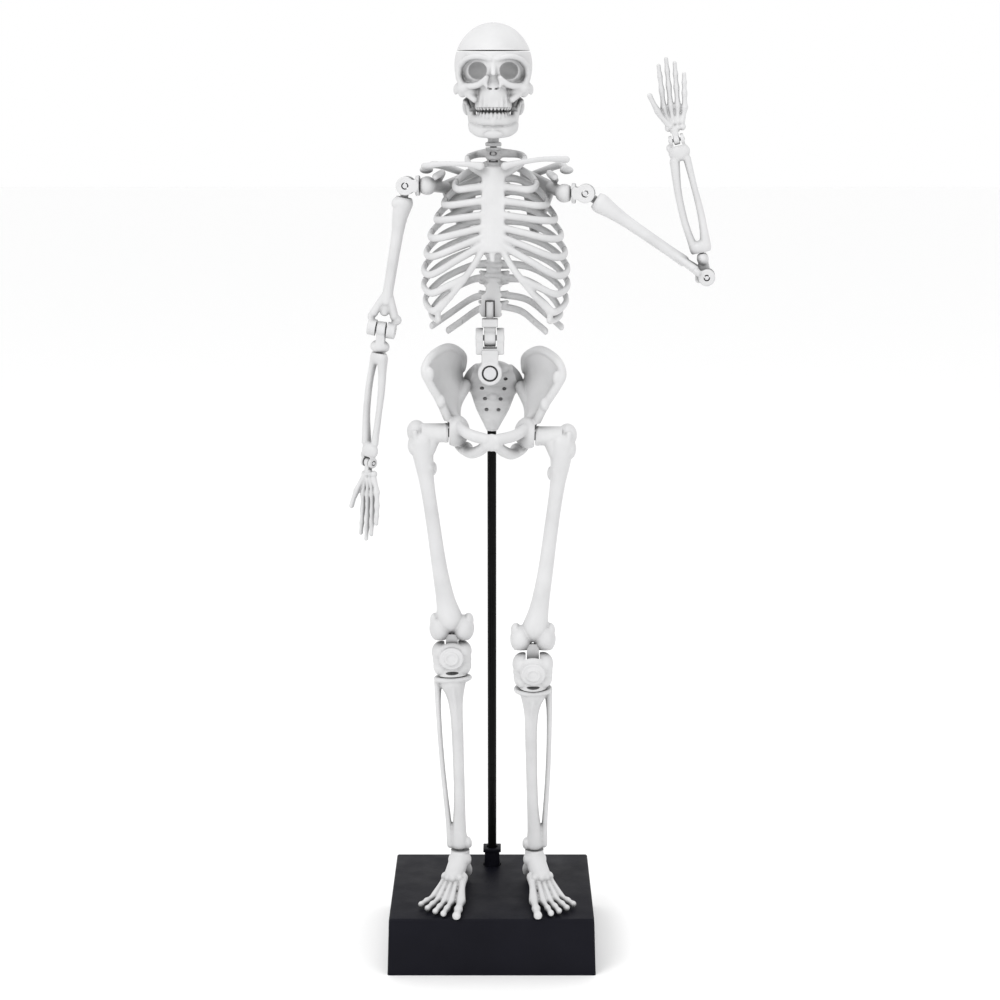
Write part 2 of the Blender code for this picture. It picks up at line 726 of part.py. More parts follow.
def ribs_shape(clay):
    radii = (RIB_THICK, RIB_THICK, RIB_TALL)
    for side in SIDES.values():
        for number, (height, width, rise, drop) in enumerate(RIBS):
            root_z = height + rise
            root_y = spine_y(root_z)
            back_y = CAGE_Y + CAGE_DEPTH * (0.55 + 0.045 * min(number, 8))
            points = [
                (SPINE_X + side * 1.4, root_y + 0.6, root_z),
                (side * width * 0.42, back_y + 0.8, root_z - rise * 0.12),
                (side * width * 0.80, back_y - 2.6, height + rise * 0.5),
                (side * width, CAGE_Y, height),
                (side * width * 0.86, CAGE_Y - 5.4, height - drop * 0.55 - 0.6),
            ]
            if number < len(STERNUM_RIBS):
                join_z = STERNUM_RIBS[number]
                joint = Vector((side * 2.2, sternum_y(join_z), join_z))
            else:
                joint = margin_point(side, (0.42, 0.72, 1.0)[number - len(STERNUM_RIBS)])
            near = Vector(points[-1])
            middle = near.lerp(joint, 0.55)
            middle.y = min(middle.y, joint.y + 0.8)
            if number == 0:
                points = points[:1] + [
                    (side * 5.0, 4.4, 53.6),
                    (side * 7.4, 0.6, 52.8),
                    (side * 6.4, -3.4, 51.4),
                ]
                middle = Vector((side * 4.4, -5.6, 50.2))
            strand(clay, [*points, tuple(middle), tuple(joint)], radii, 0.8)
        margin = [margin_point(side, i / 4) for i in range(5)]
        strand(clay, margin, radii, 0.8)
        for tip in FLOATING:
            root_z = tip[0][2] + 2.0
            root = (SPINE_X + side * 1.2, spine_y(root_z) + 0.4, root_z)
            strand(clay, [root, *[(side * x, y, z) for x, y, z in tip]], radii, 0.8)


def spine_shape(clay):
    count = 24
    low = SPINE[0][0]
    for i in range(count + 1):
        z = low + 0.6 + (NECK_SEAT - low - 0.6) * i / count
        wide = 2.3 if z < 48 else 2.0
        y = spine_y(z)
        ellipsoid(clay, (SPINE_X, y, z), (wide, 2.0, 1.5), 10)
        if z < 50:
            ellipsoid(clay, (SPINE_X, y + 2.6, z - 0.5), (0.7, 1.5, 0.8), 8)
    ellipsoid(clay, (-TORSO_SHIFT, spine_y(low), low + 1.8), (2.9, 2.5, 2.2))


def sternum_shape(clay):
    for i in range(15):
        z = 50.4 - 19.4 * i / 14
        wide = 2.4 if i < 4 else 2.0
        y = sternum_y(z)
        strand(clay, [(-wide, y, z), (0, y - 0.3, z), (wide, y, z)], (0.8, 0.8, 0.9), 0.9)
    ellipsoid(clay, (0, sternum_y(31.0), 30.6), (1.2, 0.8, 1.6))


def build_rib_cage(body):
    far = 60         # well past the cage on every side

    def back(clay):
        ribs_shape(clay)
        spine_shape(clay)

    def front(clay):
        ribs_shape(clay)
        sternum_shape(clay)

    def ahead(clay):
        box(clay, (-far, -far, -far), (far, RIB_SPLIT + FIT / 2, 2 * far))

    def behind(clay):
        box(clay, (-far, RIB_SPLIT - FIT / 2, -far), (far, far, 2 * far))

    cage = bone("ribcage_back", body, back, 1800)
    cut(cage, ahead)
    cut(cage, lambda clay: box(clay, (-9, -4, 0), (9, 5, TWIST_SEAT + FIT)))
    bore = TWIST_PEG_RADIUS + PEG_FIT
    top = TWIST_SEAT + TWIST_PEG_LENGTH + FIT
    peg = -TORSO_SHIFT
    cut(cage, lambda clay: cylinder(clay, (peg, 0, 5), (peg, 0, top), bore, 10))
    cut(cage, lambda clay: box(clay, (-6, -6, NECK_SEAT), (6, 12, NECK_SEAT + 9)))
    neck_bore = NECK_PEG_RADIUS + PEG_FIT
    start = (SPINE_X, NECK_Y, NECK_SEAT - NECK_PEG_LENGTH)
    end = (SPINE_X, NECK_Y, NECK_SEAT + 2)
    cut(cage, lambda clay: cylinder(clay, start, end, neck_bore, 10))

    sternum = bone("ribcage_front", body, front, 1800)
    cut(sternum, behind)


# ---------------------------------------------------------------- shoulder girdle
def build_girdle(body, label):
    side = SIDES[label]
    rise = CLAVICLE_RISE[label]
    shoulder_z = SHOULDER_Z[label]

    def clavicle(clay):
        strand(
            clay,
            [
                (side * 3.0, -8.7, 51.2, 1.25),
                (side * 7.0, -9.2, 51.6 + rise * 0.2, 0.9),
                (side * 12.0, -6.6, 51.4 + rise * 0.5, 0.85),
                (side * 17.4, -2.2, 50.6 + rise * 0.7, 1.1),
            ],
            0.95,
        )

    bone(f"clavicle_{label}", body, clavicle, 110, voxel=0.35)

    def scapula(clay):
        tip = Vector((8.6, 10.8, 32.4))
        inner = Vector((5.6, 10.6, 49.5))
        neck = Vector((14.0, 5.4, 46.0))
        for i in range(12):
            t = i / 11
            low = inner.lerp(tip, t)
            high = neck.lerp(tip, t)
            middle = (low + high) / 2 + Vector((0.5, 0.5, 0))
            line = [(side * p.x, p.y, p.z) for p in (low, middle, high)]
            strand(clay, line, 0.75, 0.8)
        ridge = [(6.0, 11.6, 47.4), (11.5, 9.6, 49.6), (15.6, 4.6, 51.0), (17.4, 1.2, 50.2)]
        strand(clay, [(side * x, y, z) for x, y, z in ridge], 0.95)
        ellipsoid(clay, (side * 17.6, 1.0, 49.9), (1.7, 1.6, 1.1))
        hook = [(14.4, 3.0, 47.4), (13.2, -0.6, 49.2), (14.6, -2.6, 48.4)]
        strand(clay, [(side * x, y, z) for x, y, z in hook], 0.85)
        strand(clay, [(side * 13.4, 5.8, 45.4), (side * 16.6, -0.6, shoulder_z)], 1.5)
        ellipsoid(clay, (side * 16.9, SHOULDER_Y, shoulder_z), 2.3)

    blade = bone(f"scapula_{label}", body, scapula, 210, voxel=0.35)
    face = side * SHOULDER_FACE
    start = (side * (SHOULDER_FACE - SHOULDER_PEG_LENGTH - PEG_FIT), SHOULDER_Y, shoulder_z)
    end = (side * 24, SHOULDER_Y, shoulder_z)
    bore = SHOULDER_PEG_RADIUS + PEG_FIT
    cut(blade, lambda clay: cylinder(clay, start, end, bore, 10))
    cut(blade, lambda clay: cylinder(clay, (face, SHOULDER_Y, shoulder_z), end, 2.9, 16))


# ---------------------------------------------------------------- skull
def case_shape(clay):
    ellipsoid(clay, CASE_CENTRE, CASE_RADII, 32)
    ellipsoid(clay, (0, -9.6, 16.4), (6.6, 3.2, 2.8), 20)


def cranium_shape(clay):
    case_shape(clay)
    ellipsoid(clay, (0, -8.6, 8.4), (4.6, 4.4, 5.2), 20)
    ellipsoid(clay, (0, 3.6, 6.6), (6.2, 6.6, 4.4), 20)
    ellipsoid(clay, (0, 0, 2.2), (3.9, 4.2, 3.4), 16)
    ellipsoid(clay, (0, -11.8, 12.4), (1.0, 1.5, 2.2), 12)
    for side in SIDES.values():
        strand(clay, [(side * 5.0, -10.4, 9.4), (side * 8.0, -8.0, 9.2)], 1.6)
        arch = [(8.0, -7.8, 9.6), (9.2, -4.6, 8.9), (9.2, -1.0, 8.9), (8.2, 1.8, 9.8)]
        strand(clay, [(side * x, y, z) for x, y, z in arch], (0.7, 0.9, 1.35))
        strand(clay, [(side * 7.9, -8.4, 11.2), (side * 7.9, -9.0, 15.6)], 1.1)
        ellipsoid(clay, (side * 6.2, 3.2, 4.8), (1.5, 1.8, 2.4), 12)


def face_hollows(clay):
    for side in SIDES.values():
        ellipsoid(clay, (side * 4.25, -12.6, 14.0), (2.75, 4.0, 2.5), 16)
        ellipsoid(clay, (side * 10.6, -6.6, 14.4), (1.8, 2.8, 3.0), 16)
        ellipsoid(clay, (side * 7.0, -5.0, 8.2), (1.5, 3.0, 2.2), 16)
        strand(clay, [(side * 0.8, -13.6, 8.9), (side * 0.25, -13.0, 11.0)], (0.8, 2.2, 0.9))


def about_hinge(x, y, z):
    """A point of the skull's frame, given in the jaw's frame."""
    return Vector((x, y, z)) - JAW_HINGE


def jaw_shape(clay):
    for side in SIDES.values():
        low = [(6.0, -1.6, 0.2), (5.0, -5.6, -0.2), (2.8, -9.6, -0.2), (0, -10.9, -0.2)]
        strand(clay, [about_hinge(side * x, y, z) for x, y, z in low], (0.95, 0.95, 1.3))
        row = [(4.6, -5.4, 1.9), (2.7, -9.5, 2.1), (0, -10.9, 2.1)]
        strand(clay, [about_hinge(side * x, y, z) for x, y, z in row], (0.85, 0.85, 1.4))
        rear = [(6.2, -2.0, 0.4), (6.7, -1.4, 3.2), (7.0, -0.8, JAW_HINGE.z - 0.4)]
        strand(clay, [about_hinge(side * x, y, z) for x, y, z in rear], (0.7, 1.3, 0.9))
    ellipsoid(clay, about_hinge(0, -11.2, -0.5), (2.0, 1.1, 1.2))


def build_skull(skull, cap, jaw):
    cranium = bone("cranium", skull, cranium_shape, 760, carve=face_hollows)
    lid = CAP_CUT - FIT / 2
    cut(cranium, lambda clay: box(clay, (-20, -20, lid), (20, 20, 40)))
    cut(cranium, lambda clay: ellipsoid(clay, BRAIN_CENTRE, BRAIN_RADII, 12))
    cut(cranium, lambda clay: box(clay, (-5.2, -16, TEETH_LINE - 5), (5.2, -4.4, TEETH_LINE)))
    cut(cranium, lambda clay: ellipsoid(clay, (0, 0, 0), NECK_BALL + PEG_FIT, 10))
    cone = NECK_RADIUS + PEG_FIT
    cut(cranium, lambda clay: cylinder(clay, (0, 0, 0), (0, 0, -5), cone, 12, cone + 2.2))

    dome = bone("skull_cap", cap, case_shape, 260)
    top = CAP_CUT + FIT / 2
    cut(dome, lambda clay: box(clay, (-20, -20, -10), (20, 20, top)))
    cut(dome, lambda clay: ellipsoid(clay, BRAIN_CENTRE, BRAIN_RADII, 12))

    mandible = bone("mandible", jaw, jaw_shape, 300, voxel=0.35)
    low = about_hinge(-5.6, -16, TEETH_LINE - FIT)
    high = about_hinge(5.6, -4, TEETH_LINE + 5)
    cut(mandible, lambda clay: box(clay, low, high))


# ---------------------------------------------------------------- arm
def build_arm(label, frames):
    side = SIDES[label]
    half = SHOULDER_HALF
    cheek = half + FIT

    def yoke_web(clay):
        inner = side * (SHOULDER_FACE + FIT - SHOULDER_X)
        outer = side * (SHOULDER_FACE + FIT + 1.0 - SHOULDER_X)
        cylinder(clay, (inner, 0, 0), (outer, 0, 0), cheek + 0.9)

    yoke = solid(f"shoulder_yoke_{label}", frames["yoke"], yoke_web, "bone")
    peg_in = side * (SHOULDER_FACE - SHOULDER_PEG_LENGTH - SHOULDER_X)
    peg_out = side * (SHOULDER_FACE + 0.8 - SHOULDER_X)
    join(yoke, lambda clay: cylinder(clay, (peg_in, 0, 0), (peg_out, 0, 0), SHOULDER_PEG_RADIUS, 10))
    web = side * (SHOULDER_FACE + FIT + 0.4 - SHOULDER_X)
    for y in (cheek, -cheek - 0.9):
        low = (min(web, 0), y, -1.5)
        high = (max(web, 0), y + 0.9, 1.5)
        join(yoke, lambda clay, a=low, b=high: box(clay, a, b))
        join(
            yoke,
            lambda clay, a=y: cylinder(clay, (0, a, 0), (0, a + 0.9, 0), SHOULDER_CHEEK),
        )
    pin_bore = SHOULDER_PIN_RADIUS + PEG_FIT
    cut(yoke, lambda clay: cylinder(clay, (0, -5, 0), (0, 5, 0), pin_bore, 10))
    end = cheek + 1.0
    solid(
        f"shoulder_pin_{label}",
        frames["yoke"],
        lambda clay: cylinder(clay, (0, -end, 0), (0, end, 0), SHOULDER_PIN_RADIUS, 12),
    )

    hub = solid(
        f"shoulder_hub_{label}",
        frames["hub"],
        lambda clay: cylinder(clay, (0, -half, 0), (0, half, 0), SHOULDER_DISC),
        "bone",
    )
    stub = UPPER_PEG_RADIUS
    join(hub, lambda clay: cylinder(clay, (0, 0, -1), (0, 0, -UPPER_PEG_END), stub, 10))
    cut(hub, lambda clay: cylinder(clay, (0, -5, 0), (0, 5, 0), pin_bore, 10))

    def humerus(clay):
        share = UPPER_ARM / DRAWN_UPPER_ARM
        low = -UPPER_ARM
        shaft = [
            (side * 0.2, 0, -8.0, 1.4),
            (0, 0, -13.0, 1.0),
            (0, 0, -24.0, 0.95),
            (0, 0, -29.0, 1.0),
        ]
        strand(clay, [(0, 0, -4.4, 1.75), *stretched(shaft, share)], 1.45)
        for x in (-1.0, 1.0):
            strand(clay, [(0, 0, low + 10.0, 0.9), (x * 2.6, 0, low + 3.6, 1.1)], (1.0, 0.95, 1.0))
        ellipsoid(clay, (-side * 3.3, 0.2, low + 2.8), (1.3, 0.9, 1.3))
        ellipsoid(clay, (side * 3.1, 0.2, low + 2.6), (1.0, 0.9, 1.2))
        ellipsoid(clay, (side * 1.3, -0.6, -4.6), (1.5, 1.7, 1.6))
        wide = ELBOW_WIDTH / 2
        cylinder(clay, (-wide, 0, -UPPER_ARM), (wide, 0, -UPPER_ARM), ELBOW_CHEEK)

    upper = bone(f"humerus_{label}", frames["upper"], humerus, 230, voxel=0.35)
    cut(upper, lambda clay: box(clay, (-5, -5, -UPPER_ARM_TOP), (5, 5, 4)))
    hole = UPPER_PEG_END + PEG_FIT
    cut(upper, lambda clay: cylinder(clay, (0, 0, -hole), (0, 0, 0), stub + PEG_FIT, 10))
    slot = ELBOW_TONGUE / 2 + FIT
    reach = ELBOW_RADIUS + FIT
    low = (-slot, -5, -UPPER_ARM - 5)
    high = (slot, 5, -UPPER_ARM + reach)
    cut(upper, lambda clay: box(clay, low, high))
    elbow_bore = ELBOW_PIN_RADIUS + PEG_FIT
    across = 6.0
    cut(
        upper,
        lambda clay: cylinder(clay, (-across, 0, -UPPER_ARM), (across, 0, -UPPER_ARM), elbow_bore, 12),
    )
    pin_end = ELBOW_WIDTH / 2 + 0.1
    solid(
        f"elbow_pin_{label}",
        frames["upper"],
        lambda clay: cylinder(
            clay, (-pin_end, 0, -UPPER_ARM), (pin_end, 0, -UPPER_ARM), ELBOW_PIN_RADIUS, 12
        ),
    )

    def elbow(clay):
        ellipsoid(clay, (0, 0, -4.5), (2.5, 1.45, 1.75), 16)
        cylinder(clay, (-1.1, 0, 0), (1.1, 0, 0), ELBOW_RADIUS)
        strand(clay, [(0, 0.3, -3.5), (0, 1.6, -1.5), (0, 2.2, 0.2)], (0.9, 1.0, 1.0))

    block = bone(f"elbow_block_{label}", frames["elbow"], elbow, 140, voxel=0.3)
    thin = ELBOW_TONGUE / 2
    for x in (-1, 1):
        inner, outer = sorted((x * thin, x * 5))
        cut(block, lambda clay, a=inner, b=outer: box(clay, (a, -5, -2.6), (b, 5, 5)))
    turn_face = FOREARM_TOP - FIT
    cut(block, lambda clay: box(clay, (-5, -5, -9), (5, 5, -turn_face)))
    peg_low = -FOREARM_TOP - FOREARM_PEG_LENGTH + FIT
    join(
        block,
        lambda clay: cylinder(clay, (0, 0, -turn_face + 1), (0, 0, peg_low), FOREARM_PEG_RADIUS, 12),
    )
    cut(block, lambda clay: cylinder(clay, (-3, 0, 0), (3, 0, 0), elbow_bore, 10))

    def forearm(clay):
        ellipsoid(clay, (0, 0, -FOREARM_TOP - 1.0), (2.7, 1.7, 2.0), 16)
        share = FOREARM / DRAWN_FOREARM
        radius = [
            (side * 1.5, 0, -8.0, 1.1),
            (side * 2.3, -0.2, -14.0, 0.95),
            (side * 2.4, -0.2, -21.0, 1.0),
            (side * 1.6, 0, -29.0, 1.25),
        ]
        strand(clay, stretched(radius, share), (0.98, 0.98, 1.0))
        ulna = [
            (-side * 1.5, 0, -8.0, 1.2),
            (-side * 1.9, 0.2, -14.0, 1.0),
            (-side * 1.7, 0.2, -21.0, 0.85),
            (-side * 1.5, 0, -29.0, 0.95),
        ]
        strand(clay, stretched(ulna, share), (0.98, 0.98, 1.0))
        ellipsoid(clay, (0, 0, -FOREARM + 3.0), (2.7, 1.35, 2.2), 16)
        cylinder(clay, (-1.9, 0, -FOREARM), (1.9, 0, -FOREARM), 1.35)

    lower = bone(f"forearm_{label}", frames["forearm"], forearm, 270, voxel=0.33)
    cut(lower, lambda clay: box(clay, (-5, -5, -FOREARM_TOP), (5, 5, 0)))
    hole_low = -FOREARM_TOP - FOREARM_PEG_LENGTH
    peg_bore = FOREARM_PEG_RADIUS + PEG_FIT
    cut(lower, lambda clay: cylinder(clay, (0, 0, hole_low), (0, 0, -4), peg_bore, 10))
    wrist = WRIST_TONGUE / 2 + FIT
    top = -FOREARM + WRIST_RADIUS + FIT
    cut(lower, lambda clay: box(clay, (-wrist, -5, -FOREARM - 4), (wrist, 5, top)))
    wrist_bore = WRIST_PIN_RADIUS + 0.25
    cut(
        lower,
        lambda clay: cylinder(clay, (-4, 0, -FOREARM), (4, 0, -FOREARM), wrist_bore, 10),
    )
    solid(
        f"wrist_pin_{label}",
        frames["forearm"],
        lambda clay: cylinder(clay, (-2.0, 0, -FOREARM), (2.0, 0, -FOREARM), WRIST_PIN_RADIUS, 10),
    )
    build_hand(label, frames["hand"], wrist_bore)


# Each finger: sideways place of knuckle and tip, knuckle's and tip's distance from the wrist.
FINGERS = [
    (-2.7, -3.3, 7.6, 15.4),
    (-1.05, -1.3, 8.2, 18.2),
    (0.65, 0.65, 8.4, 19.4),
    (2.35, 2.6, 8.0, 18.0),
]


def build_hand(label, body, wrist_bore):
    side = SIDES[label]

    def shape(clay):
        lean = turn("Y", -side * HAND_LEAN[label])
        cylinder(clay, (-0.72, 0, 0), (0.72, 0, 0), WRIST_RADIUS)
        ellipsoid(clay, (0, 0, -3.0), (2.6, 1.1, 1.7), 12)
        for knuckle, tip, near, far in FINGERS:
            joints = [
                (knuckle * 0.5, 0, -3.4, 1.2),
                (knuckle, 0, -near, 1.1),
                ((knuckle + tip) / 2, -0.4, -(near + far) / 2, 0.9),
                (tip, -1.0, -far, 0.8),
            ]
            strand(clay, [(*(lean @ Vector((side * x, y, z))), k) for x, y, z, k in joints], 0.82, 0.5)
        thumb = [(1.2, -0.2, -3.2, 1.3), (3.9, -0.9, -6.6, 1.15), (5.6, -1.4, -11.4, 0.9)]
        strand(clay, [(*(lean @ Vector((side * x, y, z))), k) for x, y, z, k in thumb], 0.72, 0.5)

    hand = bone(f"hand_{label}", body, shape, 380, voxel=0.26)
    thin = WRIST_TONGUE / 2
    for x in (-1, 1):
        inner, outer = sorted((x * thin, x * 4))
        cut(hand, lambda clay, a=inner, b=outer: box(clay, (a, -3, -1.8), (b, 3, 3)))
    cut(hand, lambda clay: cylinder(clay, (-3, 0, 0), (3, 0, 0), wrist_bore, 10))


# ---------------------------------------------------------------- leg
def build_leg(label, frames):
    side = SIDES[label]
    knee = Vector((-side * KNEE_IN, 0, -THIGH))
    neck_end = side * (HIP_FACE + FIT - HIP_X)

    def femur(clay):
        cylinder(clay, (neck_end - side, 0, 0), (side * 4.0, 0, 0), 2.45)
        shaft = [
            (side * 3.5, 0, -2.0, 1.6),
            (side * 3.1, 0, -7.0, 1.25),
            (side * 2.3, -0.3, -13.0, 0.95),
            (side * 1.0, -0.6, -22.0, 0.9),
            (-side * 0.6, -0.6, -34.0, 0.98),
            (-side * 2.1, -0.2, -43.0, 1.25),
            (-side * 3.3, 0, -49.0, 2.0),
        ]
        strand(clay, stretched(shaft, THIGH / DRAWN_THIGH), (2.0, 1.9, 2.0), 1.0)
        strand(clay, [(side * 0.6, 0, -0.4), (side * 2.2, 0, -4.0)], 2.1)
        ellipsoid(clay, (side * 4.9, 0.8, 0.2), (2.5, 2.7, 3.0), 16)
        ellipsoid(clay, (side * 1.2, 1.2, -9.4), (1.4, 1.3, 2.0), 12)
        for x in (-1.0, 1.0):
            place = (knee.x + x * 3.0, 0.4, knee.z + 7.6)
            ellipsoid(clay, place, (2.8, 3.3, 3.6), 16)

    thigh = bone(f"femur_{label}", frames["thigh"], femur, 250)
    inner = sorted((neck_end, neck_end - side * 4))
    cut(thigh, lambda clay: box(clay, (inner[0], -4, -4), (inner[1], 4, 4)))
    peg_end = side * (HIP_FACE - HIP_PEG_LENGTH - HIP_X)
    join(
        thigh,
        lambda clay: cylinder(clay, (peg_end, 0, 0), (neck_end + side, 0, 0), HIP_PEG_RADIUS, 12),
    )
    end = knee.z + FEMUR_END_RISE
    cut(thigh, lambda clay: box(clay, (knee.x - 8, -8, end - 6), (knee.x + 8, 8, end)))
    half = KNEE_TONGUE / 2
    reach = KNEE_RADIUS

    def tongue(clay):
        cylinder(clay, (knee.x - half, 0, knee.z), (knee.x + half, 0, knee.z), reach)

    join(thigh, tongue)
    low = (knee.x - half, -1.4, knee.z + 1.0)
    high = (knee.x + half, 1.4, end + 1.5)
    join(thigh, lambda clay: box(clay, low, high))
    bore = KNEE_PIN_RADIUS + PEG_FIT
    left = (knee.x - 8, 0, knee.z)
    right = (knee.x + 8, 0, knee.z)
    cut(thigh, lambda clay: cylinder(clay, left, right, bore, 10))

    def block(clay):
        ellipsoid(clay, (0, 0, 0), KNEE_BLOCK, 24)
        for x in (-2.55, 2.55):
            ellipsoid(clay, (x, 0.1, 1.4), (2.6, 3.6, 2.9), 16)
            ellipsoid(clay, (x * 0.9, 0.1, -2.2), (2.6, 3.5, 2.9), 16)
        ellipsoid(clay, (0, 0.4 - KNEE_BLOCK.y, 0.3), PATELLA, 16)
        ellipsoid(clay, (0, -2.0, 2.1), (3.4, 1.9, 2.2), 16)
        cylinder(clay, (0, 0, -1.5), (0, 0, -KNEE_SEAT - 1), 3.7)

    piece = bone(f"knee_block_{label}", frames["knee"], block, 210)
    cut(piece, lambda clay: box(clay, (-8, -8, -KNEE_SEAT - 6), (8, 8, -KNEE_SEAT)))
    slot = half + FIT
    clear = reach + FIT
    cut(piece, lambda clay: box(clay, (-slot, -clear, -clear), (slot, 8, 8)))
    cut(piece, lambda clay: cylinder(clay, (-8, 0, 0), (8, 0, 0), bore, 10))
    peg = -KNEE_SEAT - SHIN_PEG_LENGTH
    join(piece, lambda clay: cylinder(clay, (0, 0, -KNEE_SEAT + 1.2), (0, 0, peg), SHIN_PEG_RADIUS, 10))
    pin_end = KNEE_BLOCK.x - 0.3
    solid(
        f"knee_pin_{label}",
        frames["knee"],
        lambda clay: cylinder(clay, (-pin_end, 0, 0), (pin_end, 0, 0), KNEE_PIN_RADIUS, 12),
    )

    def shank(clay):
        top = -KNEE_SEAT - FIT
        ellipsoid(clay, (0, 0, top - 0.6), (5.0, 3.7, 1.5), 20)
        share = SHANK / DRAWN_SHANK
        thick = 1.6
        end_scale = (ANKLE_BALL + PEG_FIT + 0.1 + ANKLE_WALL) / thick
        tibia = [
            (-side * 0.5, -0.2, -11.5, 1.15),
            (-side * 0.6, -0.3, -20.0, 0.98),
            (-side * 0.4, 0, -36.0, 0.95),
            (0, 0, -45.0, 1.15),
        ]
        start = (0, 0, top - 1.5, 1.9)
        end = (0, 0, -SHANK + 1.6, end_scale)
        strand(clay, [start, *stretched(tibia, share), end], thick, 0.9)
        fibula = [
            (side * 4.1, 0.8, -14.0, 0.95),
            (side * 3.7, 0.8, -28.0, 0.9),
            (side * 2.8, 0.4, -42.0, 1.0),
        ]
        start = (side * 3.9, 0.6, top - 1.6, 1.3)
        end = (side * (ANKLE_BALL + 0.9), 0.2, -SHANK + 1.4, 1.5)
        strand(clay, [start, *stretched(fibula, share), end], 0.75, 0.7)
        ellipsoid(clay, (-side * (ANKLE_BALL + 0.6), 0, -SHANK + 1.6), (1.1, 1.5, 1.7), 12)

    shin = bone(f"tibia_fibula_{label}", frames["knee"], shank, 260)
    cut(shin, lambda clay: box(clay, (-8, -8, -KNEE_SEAT - FIT), (8, 8, 2)))
    hole = -KNEE_SEAT - SHIN_PEG_LENGTH - PEG_FIT
    cut(shin, lambda clay: cylinder(clay, (0, 0, hole), (0, 0, 0), SHIN_PEG_RADIUS + PEG_FIT, 10))
    ankle_face = -SHANK + 0.6
    cut(shin, lambda clay: box(clay, (-8, -8, -SHANK - 6), (8, 8, ankle_face)))
    ball = (0, 0, -SHANK + ANKLE_BALL_RISE)
    cut(shin, lambda clay: ellipsoid(clay, ball, ANKLE_BALL + PEG_FIT + 0.1, 12))
    mouth = ANKLE_NECK + PEG_FIT + ANKLE_PLAY
    cut(shin, lambda clay: cylinder(clay, (0, 0, -SHANK - 2), ball, mouth + 0.7, 12, mouth))
    build_foot(label, frames["foot"])


# Each toe: sideways place at the root, knuckle and tip, and how far forward knuckle and tip lie.
TOES = [(-1.8, -3.4, -4.4, 14.4, 23.4), (-0.6, -1.2, -0.9, 15.4, 22.6), (0.4, 0.6, 1.4, 14.8, 21.6),
        (1.4, 2.4, 3.8, 13.8, 20.0), (2.2, 4.0, 6.0, 12.4, 17.8)]


def build_foot(label, body):
    side = SIDES[label]
    sole = -ANKLE_HEIGHT

    def shape(clay):
        cylinder(clay, (0, 0, 0.3), (0, 0, -2.0), 2.4)
        ellipsoid(clay, (0, -0.6, -2.6), (3.1, 3.2, 2.5), 16)
        strand(clay, [(0, 1.2, -4.4), (-side * 0.2, 4.6, sole + 2.6)], (2.0, 2.0, 2.3))
        instep = [(0, -0.4, -2.0), (side * 0.2, -3.2, -3.8), (side * 0.4, -6.4, -5.4)]
        strand(clay, instep, 2.6)
        for number, (root, knuckle, tip, near, far) in enumerate(TOES):
            size = 1.35 if number == 0 else 1.0
            strand(
                clay,
                [
                    (side * root, -4.6, -4.8, 1.5),
                    (side * (root + knuckle) / 2, -(5 + near) / 2, -6.2, 0.9),
                    (side * knuckle, -near, sole + 1.0, 1.1),
                    (side * tip, -far, sole + 0.75, 0.8),
                ],
                0.85 * size,
                0.6,
            )

    foot = bone(f"foot_{label}", body, shape, 340, voxel=0.33)
    cut(foot, lambda clay: box(clay, (-12, -30, sole - 5), (12, 12, sole)))
    cut(foot, lambda clay: box(clay, (-6, -6, 0.0), (6, 6, 5)))
    ball = (0, 0, ANKLE_BALL_RISE)
    join(foot, lambda clay: cylinder(clay, (0, 0, -1.2), ball, ANKLE_NECK, 10))
    join(foot, lambda clay: ellipsoid(clay, ball, ANKLE_BALL, 10))


# ---------------------------------------------------------------- assembly
def arm_frames(label, torso):
    side = SIDES[label]
    at = (side * SHOULDER_X, SHOULDER_Y, SHOULDER_Z[label])
    yoke = frame(f"frame_shoulder_yoke_{label}", at, torso)
    raised = turn("Y", -side * ARM_RAISE[label])
    hub = frame(f"frame_shoulder_hub_{label}", (0, 0, 0), yoke, raised)
    upper = frame(f"frame_upper_arm_{label}", (0, 0, 0), hub, turn("Z", side * ARM_TURN[label]))
    bent = turn("Y", side * ARM_CARRY[label]) @ turn("X", -ELBOW_BEND[label])
    elbow = frame(f"frame_elbow_{label}", (0, 0, -UPPER_ARM), upper, bent)
    turned = turn("Z", side * PALM_TURN[label])
    forearm = frame(f"frame_forearm_{label}", (0, 0, 0), elbow, turned)
    hand = frame(f"frame_hand_{label}", (0, 0, -FOREARM), forearm)
    return {
        "yoke": yoke,
        "hub": hub,
        "upper": upper,
        "elbow": elbow,
        "forearm": forearm,
        "hand": hand,
    }


def leg_frames(label, pelvis):
    side = SIDES[label]
    upright = turn("Y", -PELVIS_TILT) @ turn("X", THIGH_SWING[label])
    thigh = frame(f"frame_thigh_{label}", (side * HIP_X, HIP_Y, -HIP_DROP), pelvis, upright)
    swing = turn("X", SHIN_SWING[label] - THIGH_SWING[label])
    bent = swing @ turn("Y", SHIN_LATERAL[label])
    knee = frame(f"frame_knee_{label}", (-side * KNEE_IN, 0, -THIGH), thigh, bent)
    level = turn("Y", -SHIN_LATERAL[label]) @ turn("X", -SHIN_SWING[label])
    splayed = level @ turn("Z", side * FOOT_SPLAY)
    foot = frame(f"frame_foot_{label}", (0, 0, -SHANK), knee, splayed)
    return {"thigh": thigh, "knee": knee, "foot": foot}


